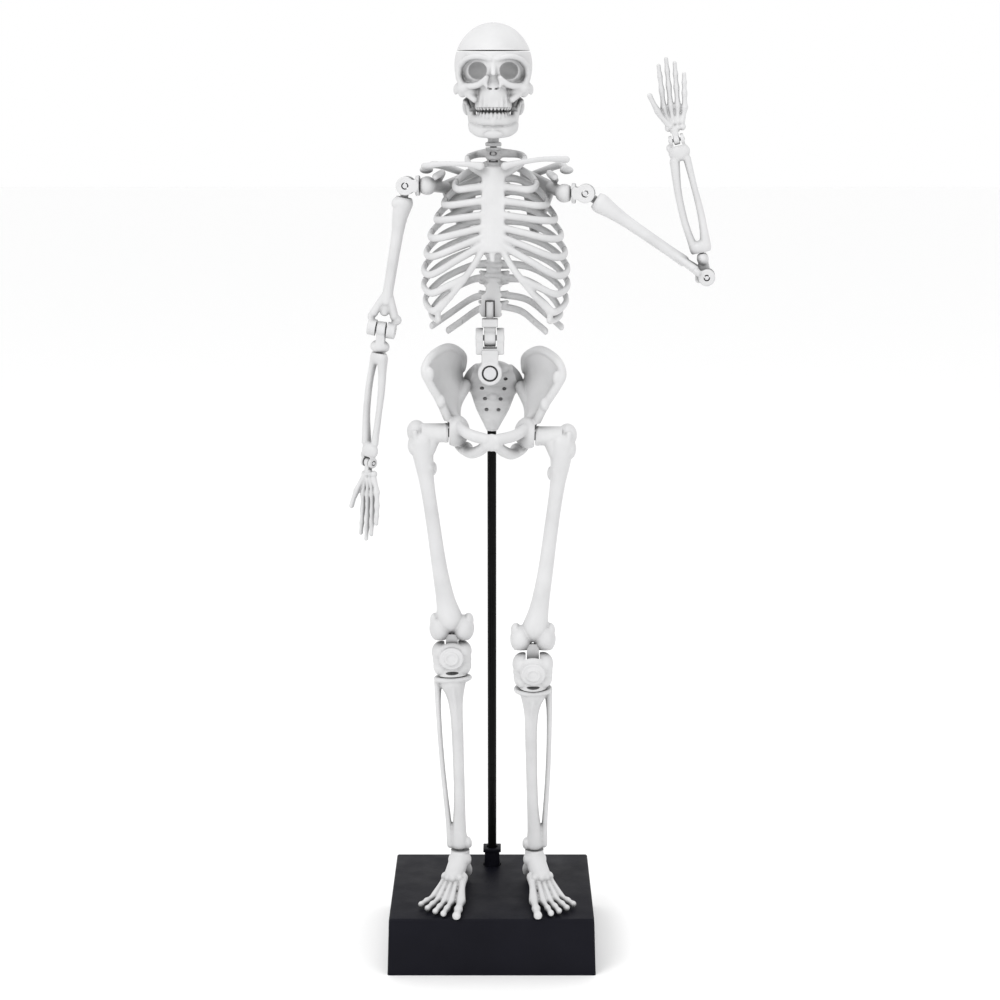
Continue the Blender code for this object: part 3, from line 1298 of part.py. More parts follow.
def main():
    clear_scene()
    stand = frame("frame_stand", (0, 0, 0))
    build_stand(stand)

    pelvis = frame("frame_pelvis", waist_point(), stand, turn("Y", PELVIS_TILT))
    build_pelvis(pelvis)
    lean = turn("Y", TORSO_LEAN)
    link = frame("frame_lumbar_link", (WAIST_PIN_X, 0, 0), pelvis, lean)
    tongue = frame("frame_lumbar_tongue", (0, 0, HINGE_RISE), link)
    build_waist(link, tongue)

    torso = frame("frame_torso", (TORSO_SHIFT, 0, -HINGE_RISE), tongue, turn("Z", TORSO_YAW))
    build_rib_cage(torso)
    straight = turn("Z", -TORSO_YAW)
    neck = frame("frame_neck", (SPINE_X, NECK_Y, NECK_TOP), torso, straight)
    column = solid(
        "neck_peg",
        neck,
        lambda clay: cylinder(clay, (0, 0, NECK_SEAT + FIT - NECK_TOP), (0, 0, 0), NECK_RADIUS, 16),
        "bone",
    )
    join(column, lambda clay: ellipsoid(clay, (0, 0, 0), NECK_BALL, 14))
    peg_low = NECK_SEAT - NECK_PEG_LENGTH + PEG_FIT - NECK_TOP
    peg_high = NECK_SEAT + 1 - NECK_TOP
    join(column, lambda clay: cylinder(clay, (0, 0, peg_low), (0, 0, peg_high), NECK_PEG_RADIUS, 10))

    upright = turn("Y", -PELVIS_TILT - TORSO_LEAN)
    skull = frame("frame_skull", (0, 0, 0), neck, upright)
    cap = frame("frame_skull_cap", (0, 0, 0), skull)
    jaw = frame("frame_jaw", JAW_HINGE, skull)
    build_skull(skull, cap, jaw)

    for label in SIDES:
        build_girdle(torso, label)
        build_arm(label, arm_frames(label, torso))
        build_leg(label, leg_frames(label, pelvis))


main()
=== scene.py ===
"""Looks for a small jointed skeleton on a box base: smooth moulded bones, pins, rod and stand.

Shapes are worked in millimetres in each body's own frame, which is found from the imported
model's joints, and each finished piece is placed in metres. +Z is up, the figure faces -Y,
and its left side is at +X. Names ending in _left and _right are the figure's own sides.
"""

import functools
import json
import math

import bmesh
import bpy
import numpy as np
from mathutils import Matrix, Vector


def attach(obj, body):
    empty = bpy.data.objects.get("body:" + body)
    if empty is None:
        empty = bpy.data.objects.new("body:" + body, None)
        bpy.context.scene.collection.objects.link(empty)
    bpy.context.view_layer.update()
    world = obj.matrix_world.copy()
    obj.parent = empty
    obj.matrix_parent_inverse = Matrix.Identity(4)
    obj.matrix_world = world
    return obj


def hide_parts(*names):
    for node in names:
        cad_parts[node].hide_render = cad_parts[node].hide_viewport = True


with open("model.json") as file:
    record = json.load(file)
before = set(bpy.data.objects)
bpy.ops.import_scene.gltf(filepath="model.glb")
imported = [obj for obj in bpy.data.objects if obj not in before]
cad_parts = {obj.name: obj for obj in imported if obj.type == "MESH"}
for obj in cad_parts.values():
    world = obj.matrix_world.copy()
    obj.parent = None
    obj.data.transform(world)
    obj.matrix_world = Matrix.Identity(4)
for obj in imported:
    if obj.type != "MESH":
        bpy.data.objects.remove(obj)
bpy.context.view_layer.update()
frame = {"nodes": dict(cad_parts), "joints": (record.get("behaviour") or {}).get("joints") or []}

MM = 0.001
SIDES = {"left": 1, "right": -1}
VOXEL = 0.2     # fineness of the moulded bones' skin
FINE = 0.15      # the same for hands, teeth and other small shapes

# ---- sizes shared by two pieces
FIT = 0.3
PELVIS_TILT = 1.6
WAIST_PIN_X = -0.9
HINGE_RISE = 8.6
TWIST_SEAT = 13.4
TORSO_SHIFT = 1.5
SPINE_X = -0.8
NECK_SEAT = 55.3
CAP_CUT = 18.0
TEETH_LINE = 3.9
SACRUM_HALF, SEAM_Y, SEAM_DEPTH = 7.0, 7.8, 3.2
HIP_X, HIP_Y, HIP_DROP = 14.0, -2.5, 15.3
HIP_FACE = 10.6
SHOULDER_X, SHOULDER_Y = 22.1, -1.0
SHOULDER_Z = {"left": 44.4, "right": 46.1}
SHOULDER_FACE = 18.4
CLAVICLE_RISE = {"left": 2.9, "right": 0.4}
UPPER_ARM, FOREARM = 36.0, 34.0
FOREARM_TOP = 6.1
THIGH, KNEE_IN, SHANK = 58.6, 3.7, 50.7
FEMUR_END = 53.7
KNEE_SEAT = 4.6
FOOT_SPLAY = 12.0
ANKLE_HEIGHT = 9.45
HAND_LEAN = {"left": -7.0, "right": -10.0}


# ---- frames, from the joints
JOINTS = {joint["name"]: joint for joint in frame["joints"]}


def turn(axis, degrees):
    return Matrix.Rotation(math.radians(degrees), 4, axis)


def place_of(joint):
    return Vector(JOINTS[joint]["pos_m"])


def axis_of(joint, sign=1):
    return sign * Vector(JOINTS[joint]["axis"])


def frame_at(origin, x, z):
    """A frame at a point, from its X and Z directions."""
    y = z.cross(x).normalized()
    x = y.cross(z).normalized()
    columns = Matrix((x, y, z.normalized())).transposed()
    return Matrix.Translation(origin) @ columns.to_4x4()


def body_frames():
    """Each body's own frame at rest, in metres."""
    up = Vector((0, 0, 1))
    found = {"stand": Matrix()}
    across = place_of("hip_raise_left") - place_of("hip_raise_right")
    hips = (place_of("hip_raise_left") + place_of("hip_raise_right")) / 2
    pelvis = frame_at(hips, across, turn("Y", PELVIS_TILT) @ up)
    found["pelvis"] = pelvis @ Matrix.Translation(Vector((0, -HIP_Y, HIP_DROP)) * MM)

    waist = place_of("waist_side_bend")
    spine = axis_of("spine_twist")
    found["lumbar_link"] = frame_at(waist, axis_of("waist_forward_bend"), spine)
    found["lumbar_tongue"] = frame_at(
        place_of("waist_forward_bend"), axis_of("waist_forward_bend"), spine
    )
    side = found["lumbar_link"] @ Vector((TORSO_SHIFT * MM, 0, 0))
    found["torso"] = frame_at(side, axis_of("shoulder_swing_left", -1), spine)
    neck = place_of("head_nod")
    found["neck"] = frame_at(neck, axis_of("head_nod"), axis_of("neck_turn"))
    found["skull"] = frame_at(neck, axis_of("jaw_open"), axis_of("cap_lift"))
    found["skull_cap"] = found["skull"]
    found["jaw"] = found["skull"]
    for label, s in SIDES.items():
        shoulder = place_of(f"shoulder_swing_{label}")
        out = axis_of(f"shoulder_swing_{label}", -1)
        across = axis_of(f"shoulder_raise_{label}", -s)
        arm = axis_of(f"upper_arm_turn_{label}", s)
        found[f"shoulder_yoke_{label}"] = frame_at(shoulder, out, out.cross(across))
        found[f"shoulder_hub_{label}"] = frame_at(shoulder, across.cross(arm), arm)
        bend = axis_of(f"elbow_bend_{label}", -1)
        found[f"upper_arm_{label}"] = frame_at(shoulder, bend, arm)
        elbow = place_of(f"elbow_bend_{label}")
        low = axis_of(f"forearm_turn_{label}", s)
        sideways = arm.cross(bend).cross(low)
        found[f"elbow_{label}"] = frame_at(elbow, sideways, low)
        found[f"forearm_{label}"] = frame_at(elbow, axis_of(f"wrist_bend_{label}"), low)
        wrist = place_of(f"wrist_bend_{label}")
        found[f"hand_{label}"] = frame_at(wrist, axis_of(f"wrist_bend_{label}"), low)

        hip = place_of(f"hip_raise_{label}")
        knee = place_of(f"knee_bend_{label}")
        ankle = place_of(f"ankle_turn_{label}")
        level = axis_of(f"hip_raise_{label}", -1)
        thigh = hip - knee
        thigh -= level * thigh.dot(level)
        found[f"thigh_{label}"] = frame_at(hip, level, thigh)
        shin = knee - ankle
        found[f"knee_{label}"] = frame_at(knee, shin.cross(level).cross(shin), shin)
        splay = turn("Z", s * FOOT_SPLAY) @ Vector((1, 0, 0))
        found[f"foot_{label}"] = frame_at(ankle, splay, up)
    return found


FRAMES = body_frames()


# ---- shapes, in millimetres
class Clay:
    """Closed shapes gathered as triangles until they are fused into one skin."""

    def __init__(self):
        self.points = []
        self.faces = []
        self.count = 0

    def add(self, points, faces):
        self.points.append(points)
        self.faces.append(faces + self.count)
        self.count += len(points)

    def add_bmesh(self, bm):
        bmesh.ops.triangulate(bm, faces=bm.faces)
        bmesh.ops.recalc_face_normals(bm, faces=bm.faces)
        bm.verts.index_update()
        points = np.array([v.co for v in bm.verts])
        faces = np.array([[v.index for v in f.verts] for f in bm.faces])
        bm.free()
        self.add(points, faces)

    def mesh(self):
        points = np.concatenate(self.points)
        faces = np.concatenate(self.faces)
        mesh = bpy.data.meshes.new("working")
        mesh.vertices.add(len(points))
        mesh.vertices.foreach_set("co", points.ravel())
        mesh.loops.add(faces.size)
        mesh.loops.foreach_set("vertex_index", faces.ravel())
        mesh.polygons.add(len(faces))
        mesh.polygons.foreach_set("loop_start", np.arange(0, faces.size, 3))
        mesh.update(calc_edges=True)
        return mesh


@functools.lru_cache
def unit_sphere(detail):
    clay = Clay()
    bm = bmesh.new()
    bmesh.ops.create_icosphere(bm, subdivisions=detail, radius=1.0)
    clay.add_bmesh(bm)
    return clay.points[0], clay.faces[0]


def ellipsoid(clay, centre, radii, detail=4, rotation=None):
    points, faces = unit_sphere(detail)
    if np.isscalar(radii):
        radii = (radii, radii, radii)
    points = points * np.array(radii)
    if rotation:
        points = points @ np.array(rotation.to_3x3()).T
    clay.add(points + np.array(centre), faces)


def smooth_path(points, step):
    """Points about a step apart on a Catmull-Rom curve. Each point is (x, y, z, scale)."""
    points = [Vector((*p, 1.0)) if len(p) == 3 else Vector(p) for p in points]
    ends = [2 * points[0] - points[1], *points, 2 * points[-1] - points[-2]]
    found = []
    for a, b, c, d in zip(ends, ends[1:], ends[2:], ends[3:]):
        count = max(1, round((c - b).length / step))
        for i in range(count):
            t = i / count
            linear = (c - a) * t
            square = (2 * a - 5 * b + 4 * c - d) * t**2
            cube = (3 * b - a - 3 * c + d) * t**3
            found.append(0.5 * (2 * b + linear + square + cube))
    return found + [points[-1]]


def strand(clay, points, radii, step=0.4):
    """A bone-like strand: close ellipsoids along a smooth path, each scaled by its own scale."""
    if np.isscalar(radii):
        radii = (radii, radii, radii)
    for point in smooth_path(points, step):
        ellipsoid(clay, point[:3], [r * point[3] for r in radii], 3)


def mirrored(side, points):
    """The same points for either side: x is counted outwards from the middle."""
    return [(side * p[0], *p[1:]) for p in points]


def limb(clay, side, points, radii, step=0.4):
    strand(clay, mirrored(side, points), radii, step)


def cylinder(clay, start, end, radius, sides=48, end_radius=None, bevel=0.0):
    start, end = Vector(start), Vector(end)
    along = end - start
    direction = along.to_track_quat("Z", "Y").to_matrix().to_4x4()
    bm = bmesh.new()
    bmesh.ops.create_cone(
        bm,
        cap_ends=True,
        segments=sides,
        radius1=radius,
        radius2=radius if end_radius is None else end_radius,
        depth=along.length,
        matrix=Matrix.Translation((start + end) / 2) @ direction,
    )
    if bevel:
        rims = [e for e in bm.edges if any(len(f.verts) > 4 for f in e.link_faces)]
        bmesh.ops.bevel(bm, geom=rims, offset=bevel, segments=3, affect="EDGES", profile=0.5)
    clay.add_bmesh(bm)


def box(clay, low, high, bevel=0.0):
    low, high = Vector(low), Vector(high)
    place = Matrix.Translation((low + high) / 2) @ Matrix.Diagonal((*(high - low), 1.0))
    bm = bmesh.new()
    bmesh.ops.create_cube(bm, size=1.0, matrix=place)
    if bevel:
        bmesh.ops.bevel(bm, geom=bm.edges[:], offset=bevel, segments=3, affect="EDGES", profile=0.5)
    clay.add_bmesh(bm)


def prism(clay, outline, low, high):
    """An upright prism over an outline of (x, y) points."""
    count = len(outline)
    bm = bmesh.new()
    rings = [[bm.verts.new((x, y, z)) for x, y in outline] for z in (low, high)]
    for ring in rings:
        bm.faces.new(ring)
    for i in range(count):
        j = (i + 1) % count
        bm.faces.new((rings[0][i], rings[0][j], rings[1][j], rings[1][i]))
    clay.add_bmesh(bm)


def shaped(build, *values, **named):
    clay = Clay()
    build(clay, *values, **named)
    return clay.mesh()


def linked(name, data):
    """A new object in the scene."""
    item = bpy.data.objects.new(name, data)
    bpy.context.scene.collection.objects.link(item)
    return item


def evaluated(item):
    graph = bpy.context.evaluated_depsgraph_get()
    mesh = bpy.data.meshes.new_from_object(item.evaluated_get(graph))
    bpy.data.objects.remove(item)
    return mesh


def skinned(mesh, voxel, smoothing):
    """One closed skin round overlapping shapes."""
    item = linked("working", mesh)
    remesh = item.modifiers.new("Skin", "REMESH")
    remesh.mode = "VOXEL"
    remesh.voxel_size = voxel
    smooth = item.modifiers.new("Smooth", "SMOOTH")
    smooth.factor = 0.5
    smooth.iterations = smoothing
    return evaluated(item)


def fused(build, voxel=VOXEL, smoothing=4):
    return skinned(shaped(build), voxel, smoothing)


def boolean(mesh, operation, other):
    item = linked("working", mesh)
    tool = linked("working", other)
    modifier = item.modifiers.new("Boolean", "BOOLEAN")
    modifier.operation = operation
    modifier.object = tool
    modifier.solver = "MANIFOLD"
    mesh = evaluated(item)
    bpy.data.objects.remove(tool)
    return mesh


def cut(mesh, build, *values, **named):
    return boolean(mesh, "DIFFERENCE", shaped(build, *values, **named))


def join(mesh, build, *values, **named):
    return boolean(mesh, "UNION", shaped(build, *values, **named))


def carved(mesh, build):
    """The mesh with a soft-edged hollow."""
    return skinned(cut(mesh, build), VOXEL, 3)


# ---- materials
PLASTIC_IOR = 1.48
GRAIN_STRENGTH = 0.35
PAINTED_SHADE_REACH = 0.006    # metres: hollows narrower than this get painted shade, a darker base colour
SHARP_ANGLE = 38


def fill(node, values):
    """Sets a node's sockets, by their names."""
    for name, value in values.items():
        node.inputs[name].default_value = value


def noise(nodes, links, coordinates, scale, detail, roughness=0.5):
    made = nodes.new("ShaderNodeTexNoise")
    fill(made, {"Scale": scale, "Detail": detail, "Roughness": roughness})
    links.new(coordinates.outputs["Object"], made.inputs["Vector"])
    return made.outputs["Fac"]


def ramp(nodes, links, fac, low, high, start=0.3, end=0.7):
    made = nodes.new("ShaderNodeValToRGB")
    for stop, place, colour in zip(made.color_ramp.elements, (start, end), (low, high)):
        stop.position = place
        stop.color = (*colour, 1.0)
    links.new(fac, made.inputs["Fac"])
    return made.outputs["Color"]


def level(nodes, links, fac, low, high, start=0.3, end=0.7):
    made = nodes.new("ShaderNodeMapRange")
    fill(made, {"From Min": start, "From Max": end, "To Min": low, "To Max": high})
    links.new(fac, made.inputs["Value"])
    return made.outputs["Result"]


def plastic(
    name, low, high, rough, grain, grain_depth, specular=0.45, waves=120.0, painted_crevice_shade=1.0
):
    """Moulded plastic: cloudy colour, uneven sheen, a fine grain left by the mould, and painted
    shade that darkens the base colour in narrow hollows when painted_crevice_shade is below 1.
    """
    made = bpy.data.materials.new(name)
    made.use_nodes = True
    nodes, links = made.node_tree.nodes, made.node_tree.links
    shader = nodes["Principled BSDF"]
    fill(shader, {"Specular IOR Level": specular, "IOR": PLASTIC_IOR})
    coordinates = nodes.new("ShaderNodeTexCoord")
    cloud = noise(nodes, links, coordinates, waves, 3.0)
    colour = ramp(nodes, links, cloud, low, high)
    # Painted shade: an ambient occlusion node darkens the base colour in narrow hollows, down to
    # painted_crevice_shade times the colour.
    if painted_crevice_shade < 1.0:
        hollow = nodes.new("ShaderNodeAmbientOcclusion")
        hollow.samples = 8
        hollow.inputs["Distance"].default_value = PAINTED_SHADE_REACH
        shade = level(nodes, links, hollow.outputs["AO"], painted_crevice_shade, 1.0, 0.35, 0.95)
        darken = nodes.new("ShaderNodeMixRGB")
        darken.blend_type = "MULTIPLY"
        darken.inputs["Fac"].default_value = 1.0
        links.new(colour, darken.inputs["Color1"])
        links.new(shade, darken.inputs["Color2"])
        colour = darken.outputs["Color"]
    links.new(colour, shader.inputs["Base Color"])
    sheen = noise(nodes, links, coordinates, waves * 2.5, 4.0)
    links.new(level(nodes, links, sheen, *rough), shader.inputs["Roughness"])
    fine = noise(nodes, links, coordinates, grain, 2.0, 0.6)
    bump = nodes.new("ShaderNodeBump")
    fill(bump, {"Strength": GRAIN_STRENGTH, "Distance": grain_depth})
    links.new(fine, bump.inputs["Height"])
    links.new(bump.outputs["Normal"], shader.inputs["Normal"])
    return made


LOOKS = {
    # The bone plastic gets painted shade in its hollows, down to 0.3 of its colour.
    "bone": plastic(
        "bone_plastic", (0.55, 0.55, 0.555), (0.62, 0.62, 0.625), (0.38, 0.52), 2600.0, 0.00004,
        painted_crevice_shade=0.3,
    ),
    "pin": plastic(
        "pin_plastic", (0.52, 0.52, 0.53), (0.60, 0.60, 0.61), (0.30, 0.42), 3200.0, 0.00002
    ),
    "base": plastic(
        "base_plastic", (0.004, 0.004, 0.007), (0.006, 0.006, 0.010), (0.45, 0.60),
        1500.0, 0.00006, 0.10, 60.0,
    ),
    "rod": plastic(
        "rod_paint", (0.002, 0.002, 0.002), (0.004, 0.004, 0.004), (0.25, 0.38), 1800.0, 0.00003,
        0.08,
    ),
}


def piece(name, mesh, body, node, kind="bone"):
    """Places a finished mesh in its body's frame, in metres, in the place of a CAD node."""
    mesh.transform(Matrix.Scale(MM, 4))
    mesh.name = name
    item = linked(name, mesh)
    item.matrix_world = FRAMES[body]
    mesh.materials.clear()
    mesh.materials.append(LOOKS[kind])
    mesh.shade_smooth()
    mesh.set_sharp_from_angle(angle=math.radians(SHARP_ANGLE))
    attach(item, body)
    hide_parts(node)
    return item


def pin(name, body, node, start, end, radius):
    def shape(clay):
        cylinder(clay, start, end, radius, 40, bevel=0.12)

    piece(name, shaped(shape), body, node, "pin")


# ---- stand
BASE_WIDTH, BASE_DEPTH, BASE_HEIGHT = 52.2, 47.5, 14.7
BASE_DRAFT = 0.45
BASE_WALL = 2.2
ROD_Y, ROD_TOP, ROD_RADIUS = 15.4, 145.6, 1.15
SPIGOT_RADIUS = 2.1
SOCKET_HALF, SOCKET_TOP, FLANGE_HALF = 1.95, 19.7, 2.35


def stand_shell(clay):
    bm = bmesh.new()
    size = Matrix.Diagonal((BASE_WIDTH, BASE_DEPTH, BASE_HEIGHT, 1.0))
    bmesh.ops.create_cube(bm, size=1.0, matrix=Matrix.Translation((0, 0, BASE_HEIGHT / 2)) @ size)
    for vertex in bm.verts:
        if vertex.co.z > BASE_HEIGHT / 2:
            vertex.co.x -= math.copysign(BASE_DRAFT, vertex.co.x)
            vertex.co.y -= math.copysign(BASE_DRAFT, vertex.co.y)
    edges = [e for e in bm.edges if max(v.co.z for v in e.verts) > BASE_HEIGHT / 2]
    bmesh.ops.bevel(bm, geom=edges, offset=0.55, segments=5, affect="EDGES", profile=0.5)
    clay.add_bmesh(bm)


def build_stand():
    inside_x = BASE_WIDTH / 2 - BASE_WALL
    inside_y = BASE_DEPTH / 2 - BASE_WALL
    roof = BASE_HEIGHT - BASE_WALL
    shell = cut(shaped(stand_shell), box, (-inside_x, -inside_y, -1), (inside_x, inside_y, roof))
    bore = SPIGOT_RADIUS + FIT
    shell = cut(shell, cylinder, (0, ROD_Y, roof - 1), (0, ROD_Y, BASE_HEIGHT + 1), bore)
    piece("stand_case", shell, "stand", "base_shell", "base")
    cover = frame["nodes"]["base_cover"]
    cover.data.materials.clear()
    cover.data.materials.append(LOOKS["base"])

    foot = BASE_HEIGHT + FIT
    low = (-SOCKET_HALF, ROD_Y - SOCKET_HALF, foot)
    high = (SOCKET_HALF, ROD_Y + SOCKET_HALF, SOCKET_TOP - 0.4)
    socket = shaped(box, low, high, 0.25)
    flange = (FLANGE_HALF, FLANGE_HALF, 0)
    middle = Vector((0, ROD_Y, SOCKET_TOP))
    socket = join(
        socket,
        box, middle - Vector(flange) - Vector((0, 0, 0.9)),
                         middle + Vector(flange), 0.2,
    )
    socket = join(socket, cylinder, (0, ROD_Y, 9.5), (0, ROD_Y, foot + 1), SPIGOT_RADIUS)
    hole = ROD_RADIUS + FIT
    socket = cut(socket, cylinder, (0, ROD_Y, 10.5), (0, ROD_Y, SOCKET_TOP + 1), hole)
    piece("rod_holder", socket, "stand", "rod_socket", "base")

    def rod(clay):
        cylinder(clay, (0, ROD_Y, 10.8), (0, ROD_Y, ROD_TOP), ROD_RADIUS, 48, bevel=0.3)

    piece("upright_rod", shaped(rod), "stand", "support_rod", "rod")


# ---- pelvis
BLADE_INLET = [
    (8.8, -2.0, -12.4),
    (9.9, -0.2, -10.4),
    (9.7, 3.2, -8.0),
    (8.5, 6.0, -6.2),
    (7.4, 7.8, -4.8),
]
BLADE_RIM = [
    (10.9, -3.0, -12.0),
    (13.2, -4.6, -6.8),
    (15.6, -5.8, -2.6),
    (17.0, -5.6, 0.8),
    (15.4, -2.6, 4.0),
    (11.6, 2.6, 5.6),
    (8.2, 7.0, 3.4),
    (7.3, 8.8, -0.4),
]
BLADES = 64


def along(path, t):
    """The point a share t of the way along a smooth path."""
    return Vector(path[round(t * (len(path) - 1))][:3])


def pelvis_shape(clay):
    for side in SIDES.values():
        inlet = smooth_path(mirrored(side, BLADE_INLET), 0.1)
        rims = smooth_path(mirrored(side, BLADE_RIM), 0.1)
        for i in range(BLADES + 1):
            t = i / BLADES
            rim = along(rims, t)
            root = along(inlet, t)
            middle = (rim + root) / 2 + Vector((side * 0.8, 0.9, 0))
            strand(clay, [(*root, 1.55), (*middle, 0.8), (*rim, 0.9)], 0.85, 0.5)
        limb(clay, side, [(*p, 1.0) for p in BLADE_RIM], 1.08)
        x = side
        ellipsoid(clay, (x * 15.9, -5.9, -0.2), (1.3, 1.2, 1.9))
        ellipsoid(clay, (x * 12.9, -4.9, -7.0), (1.2, 1.2, 1.7))
        strand(clay, [(x * 6.9, 7.0, -4.4), (x * 9.2, 3.6, -8.8), (x * 9.4, -1.6, -12.6)], 1.5)
        strand(
            clay,
            [(x * 9.4, -2.8, -12.6), (x * 6.0, -7.4, -14.5), (x * 1.3, -9.7, -15.5)],
            (1.3, 1.3, 1.45),
        )
        ischium = [
            (1.2, -9.6, -17.0), (3.4, -6.8, -19.0), (5.6, -2.6, -20.0), (8.2, 1.0, -18.6),
            (9.0, 0.4, -14.5),
        ]
        limb(clay, side, ischium, (1.3, 1.3, 1.45))
        ellipsoid(clay, (x * 6.6, -0.4, -19.4), (2.0, 2.3, 1.7))
        strand(clay, [(x * 9.0, 1.0, -14.0), (x * 7.8, 4.0, -14.2)], 0.9)
        ellipsoid(clay, (x * 9.0, HIP_Y + 0.4, -HIP_DROP + 0.6), (3.4, 3.6, 4.0))
    ellipsoid(clay, (0, -9.8, -16.2), (1.9, 1.2, 2.2))


# The sacrum's half width, from its top (0) to its tip (1).
SACRUM_WIDTHS = [(0.0, 4.2), (0.12, 6.2), (0.3, 7.4), (0.44, 4.9), (0.7, 3.4), (1.0, 0.7)]


def sacrum_half(t):
    shares, widths = zip(*SACRUM_WIDTHS)
    return float(np.interp(t, shares, widths))


def sacrum_shape(clay):
    rows = 48
    for i in range(rows + 1):
        t = i / rows
        half = sacrum_half(t)
        y = 6.4 + 3.2 * math.sin(math.pi * t) - 1.4 * t
        z = 0.6 - 15.6 * t
        thick = 0.85 + 0.18 * math.cos(t * math.pi * 10)
        strand(clay, [(-half, y, z), (0, y - 0.4, z), (half, y, z)], (0.9, thick, 0.7), 0.6)
    cylinder(clay, (WAIST_PIN_X, 0.0, 0), (WAIST_PIN_X, 7.0, 0), 2.6)
    ellipsoid(clay, (0, 6.2, 0.4), (4.2, 2.2, 1.8))
    rod_y = ROD_Y - 3.5
    cylinder(clay, (-0.5, rod_y, -11.0), (-0.5, rod_y, -1.0), 2.6)
    strand(clay, [(0, 8.0, -2.5), (-0.5, rod_y, -4.0)], 1.8)
    strand(clay, [(0, 8.8, -7.5), (-0.5, rod_y, -8.5)], 1.8)


def build_pelvis():
    ring = fused(pelvis_shape)
    for side in SIDES.values():
        face = (side * HIP_FACE, HIP_Y, -HIP_DROP)
        deep = (side * (HIP_FACE - 3.5), HIP_Y, -HIP_DROP)
        out = (side * 16, HIP_Y, -HIP_DROP)
        ring = cut(ring, cylinder, face, out, 3.5)
        ring = cut(ring, cylinder, deep, out, 1.55)
    front = SACRUM_HALF - SEAM_DEPTH / 2 + FIT / 2
    back = SACRUM_HALF + SEAM_DEPTH / 2 + FIT / 2
    near = SEAM_Y - SEAM_DEPTH / 2
    far = SEAM_Y + SEAM_DEPTH / 2
    bed = [(-front, 2.0), (front, 2.0), (front, near), (back, far), (back, 14.0)]
    bed += [(-back, 14.0), (-back, far), (-front, near)]
    ring = cut(ring, prism, bed, -13.0, 4.0)
    piece("hip_bones", ring, "pelvis", "pelvis_ring")

    sacrum = fused(sacrum_shape)
    front -= 2 * FIT
    back -= 2 * FIT
    for x in (-1, 1):
        edge = [(x * front, 0), (x * front, near), (x * back, far), (x * back, 20), (x * 16, 20)]
        edge.append((x * 16, 0))
        sacrum = cut(sacrum, prism, edge, -20, 6)
    sacrum = cut(sacrum, box, (-4, -3, -4), (4, 0.0, 4))
    sacrum = cut(sacrum, cylinder, (WAIST_PIN_X, -1, 0), (WAIST_PIN_X, 3.3, 0), 1.2)
    to_pelvis = FRAMES["pelvis"].inverted()
    low, high = (to_pelvis @ (Vector((0, ROD_Y, z)) * MM) / MM for z in (120, ROD_TOP + FIT))
    sacrum = cut(sacrum, cylinder, low, high, ROD_RADIUS + FIT + 0.1)

    def holes(clay):
        for side in SIDES.values():
            for row in range(4):
                t = 0.2 + 0.17 * row
                x = side * 0.46 * sacrum_half(t)
                y = 5.4 + 3.0 * math.sin(math.pi * t) - 1.4 * t
                ellipsoid(clay, (x, y, 0.6 - 15.6 * t), (0.55, 0.8, 0.45), 3)

    piece("sacrum_plate", cut(sacrum, holes), "pelvis", "sacrum")

    head = shaped(cylinder, (WAIST_PIN_X, -3.1, 0), (WAIST_PIN_X, -1.8, 0), 1.6, bevel=0.2)
    head = join(head, cylinder, (WAIST_PIN_X, -1.9, 0), (WAIST_PIN_X, 3.0, 0), 0.9)
    piece("waist_rivet", head, "pelvis", "waist_pin", "pin")


# ---- waist
def build_waist():
    rise = HINGE_RISE

    def link_shape(clay):
        cylinder(clay, (0, -3.0, 0), (0, -0.3, 0), 3.0, 64, bevel=0.25)
        box(clay, (-2.1, -2.8, 1.5), (2.1, -0.4, 5.8), 0.3)
        box(clay, (-3.5, -2.3, 4.6), (3.5, 2.3, rise - 0.2), 0.3)
        cylinder(clay, (-3.55, 0, rise), (3.55, 0, rise), 2.5, 64, bevel=0.25)

    link = fused(link_shape, FINE, 2)
    slot = 2.85 / 2 + FIT
    link = cut(link, box, (-slot, -4, rise - 2.5), (slot, 4, rise + 4))
    link = cut(link, cylinder, (0, -4, 0), (0, -1.5, 0), 2.05, 64)
    link = cut(link, cylinder, (0, -4, 0), (0, 4, 0), 1.2)
    link = cut(link, cylinder, (-5, 0, rise), (5, 0, rise), 1.0)
    piece("waist_link", link, "lumbar_link", "lumbar_link")
    pin("waist_cross_pin", "lumbar_link", "lumbar_hinge_pin", (-3.6, 0, rise), (3.6, 0, rise), 0.7)

    seat = TWIST_SEAT - rise

    def tongue_shape(clay):
        cylinder(clay, (-1.42, 0, 0), (1.42, 0, 0), 2.18, 64, bevel=0.15)
        box(clay, (-1.42, -1.4, 0.5), (1.42, 1.4, 3.4), 0.15)
        box(clay, (-2.0, -2.0, 2.8), (2.0, 2.0, seat), 0.25)

    tongue = fused(tongue_shape, FINE, 2)
    tongue = join(tongue, cylinder, (0, 0, seat - 1), (0, 0, seat + 4.2), 0.9)
    tongue = cut(tongue, cylinder, (-3, 0, 0), (3, 0, 0), 1.0)
    piece("waist_tongue", tongue, "lumbar_tongue", "lumbar_tongue")


# ---- rib cage
SPINE_HEIGHTS = [13.8, 18.6, 26.0, 36.0, 44.0, 51.0, NECK_SEAT]
SPINE_DEPTHS = [0.0, 0.5, 3.2, 5.4, 5.2, 3.2, 2.0]
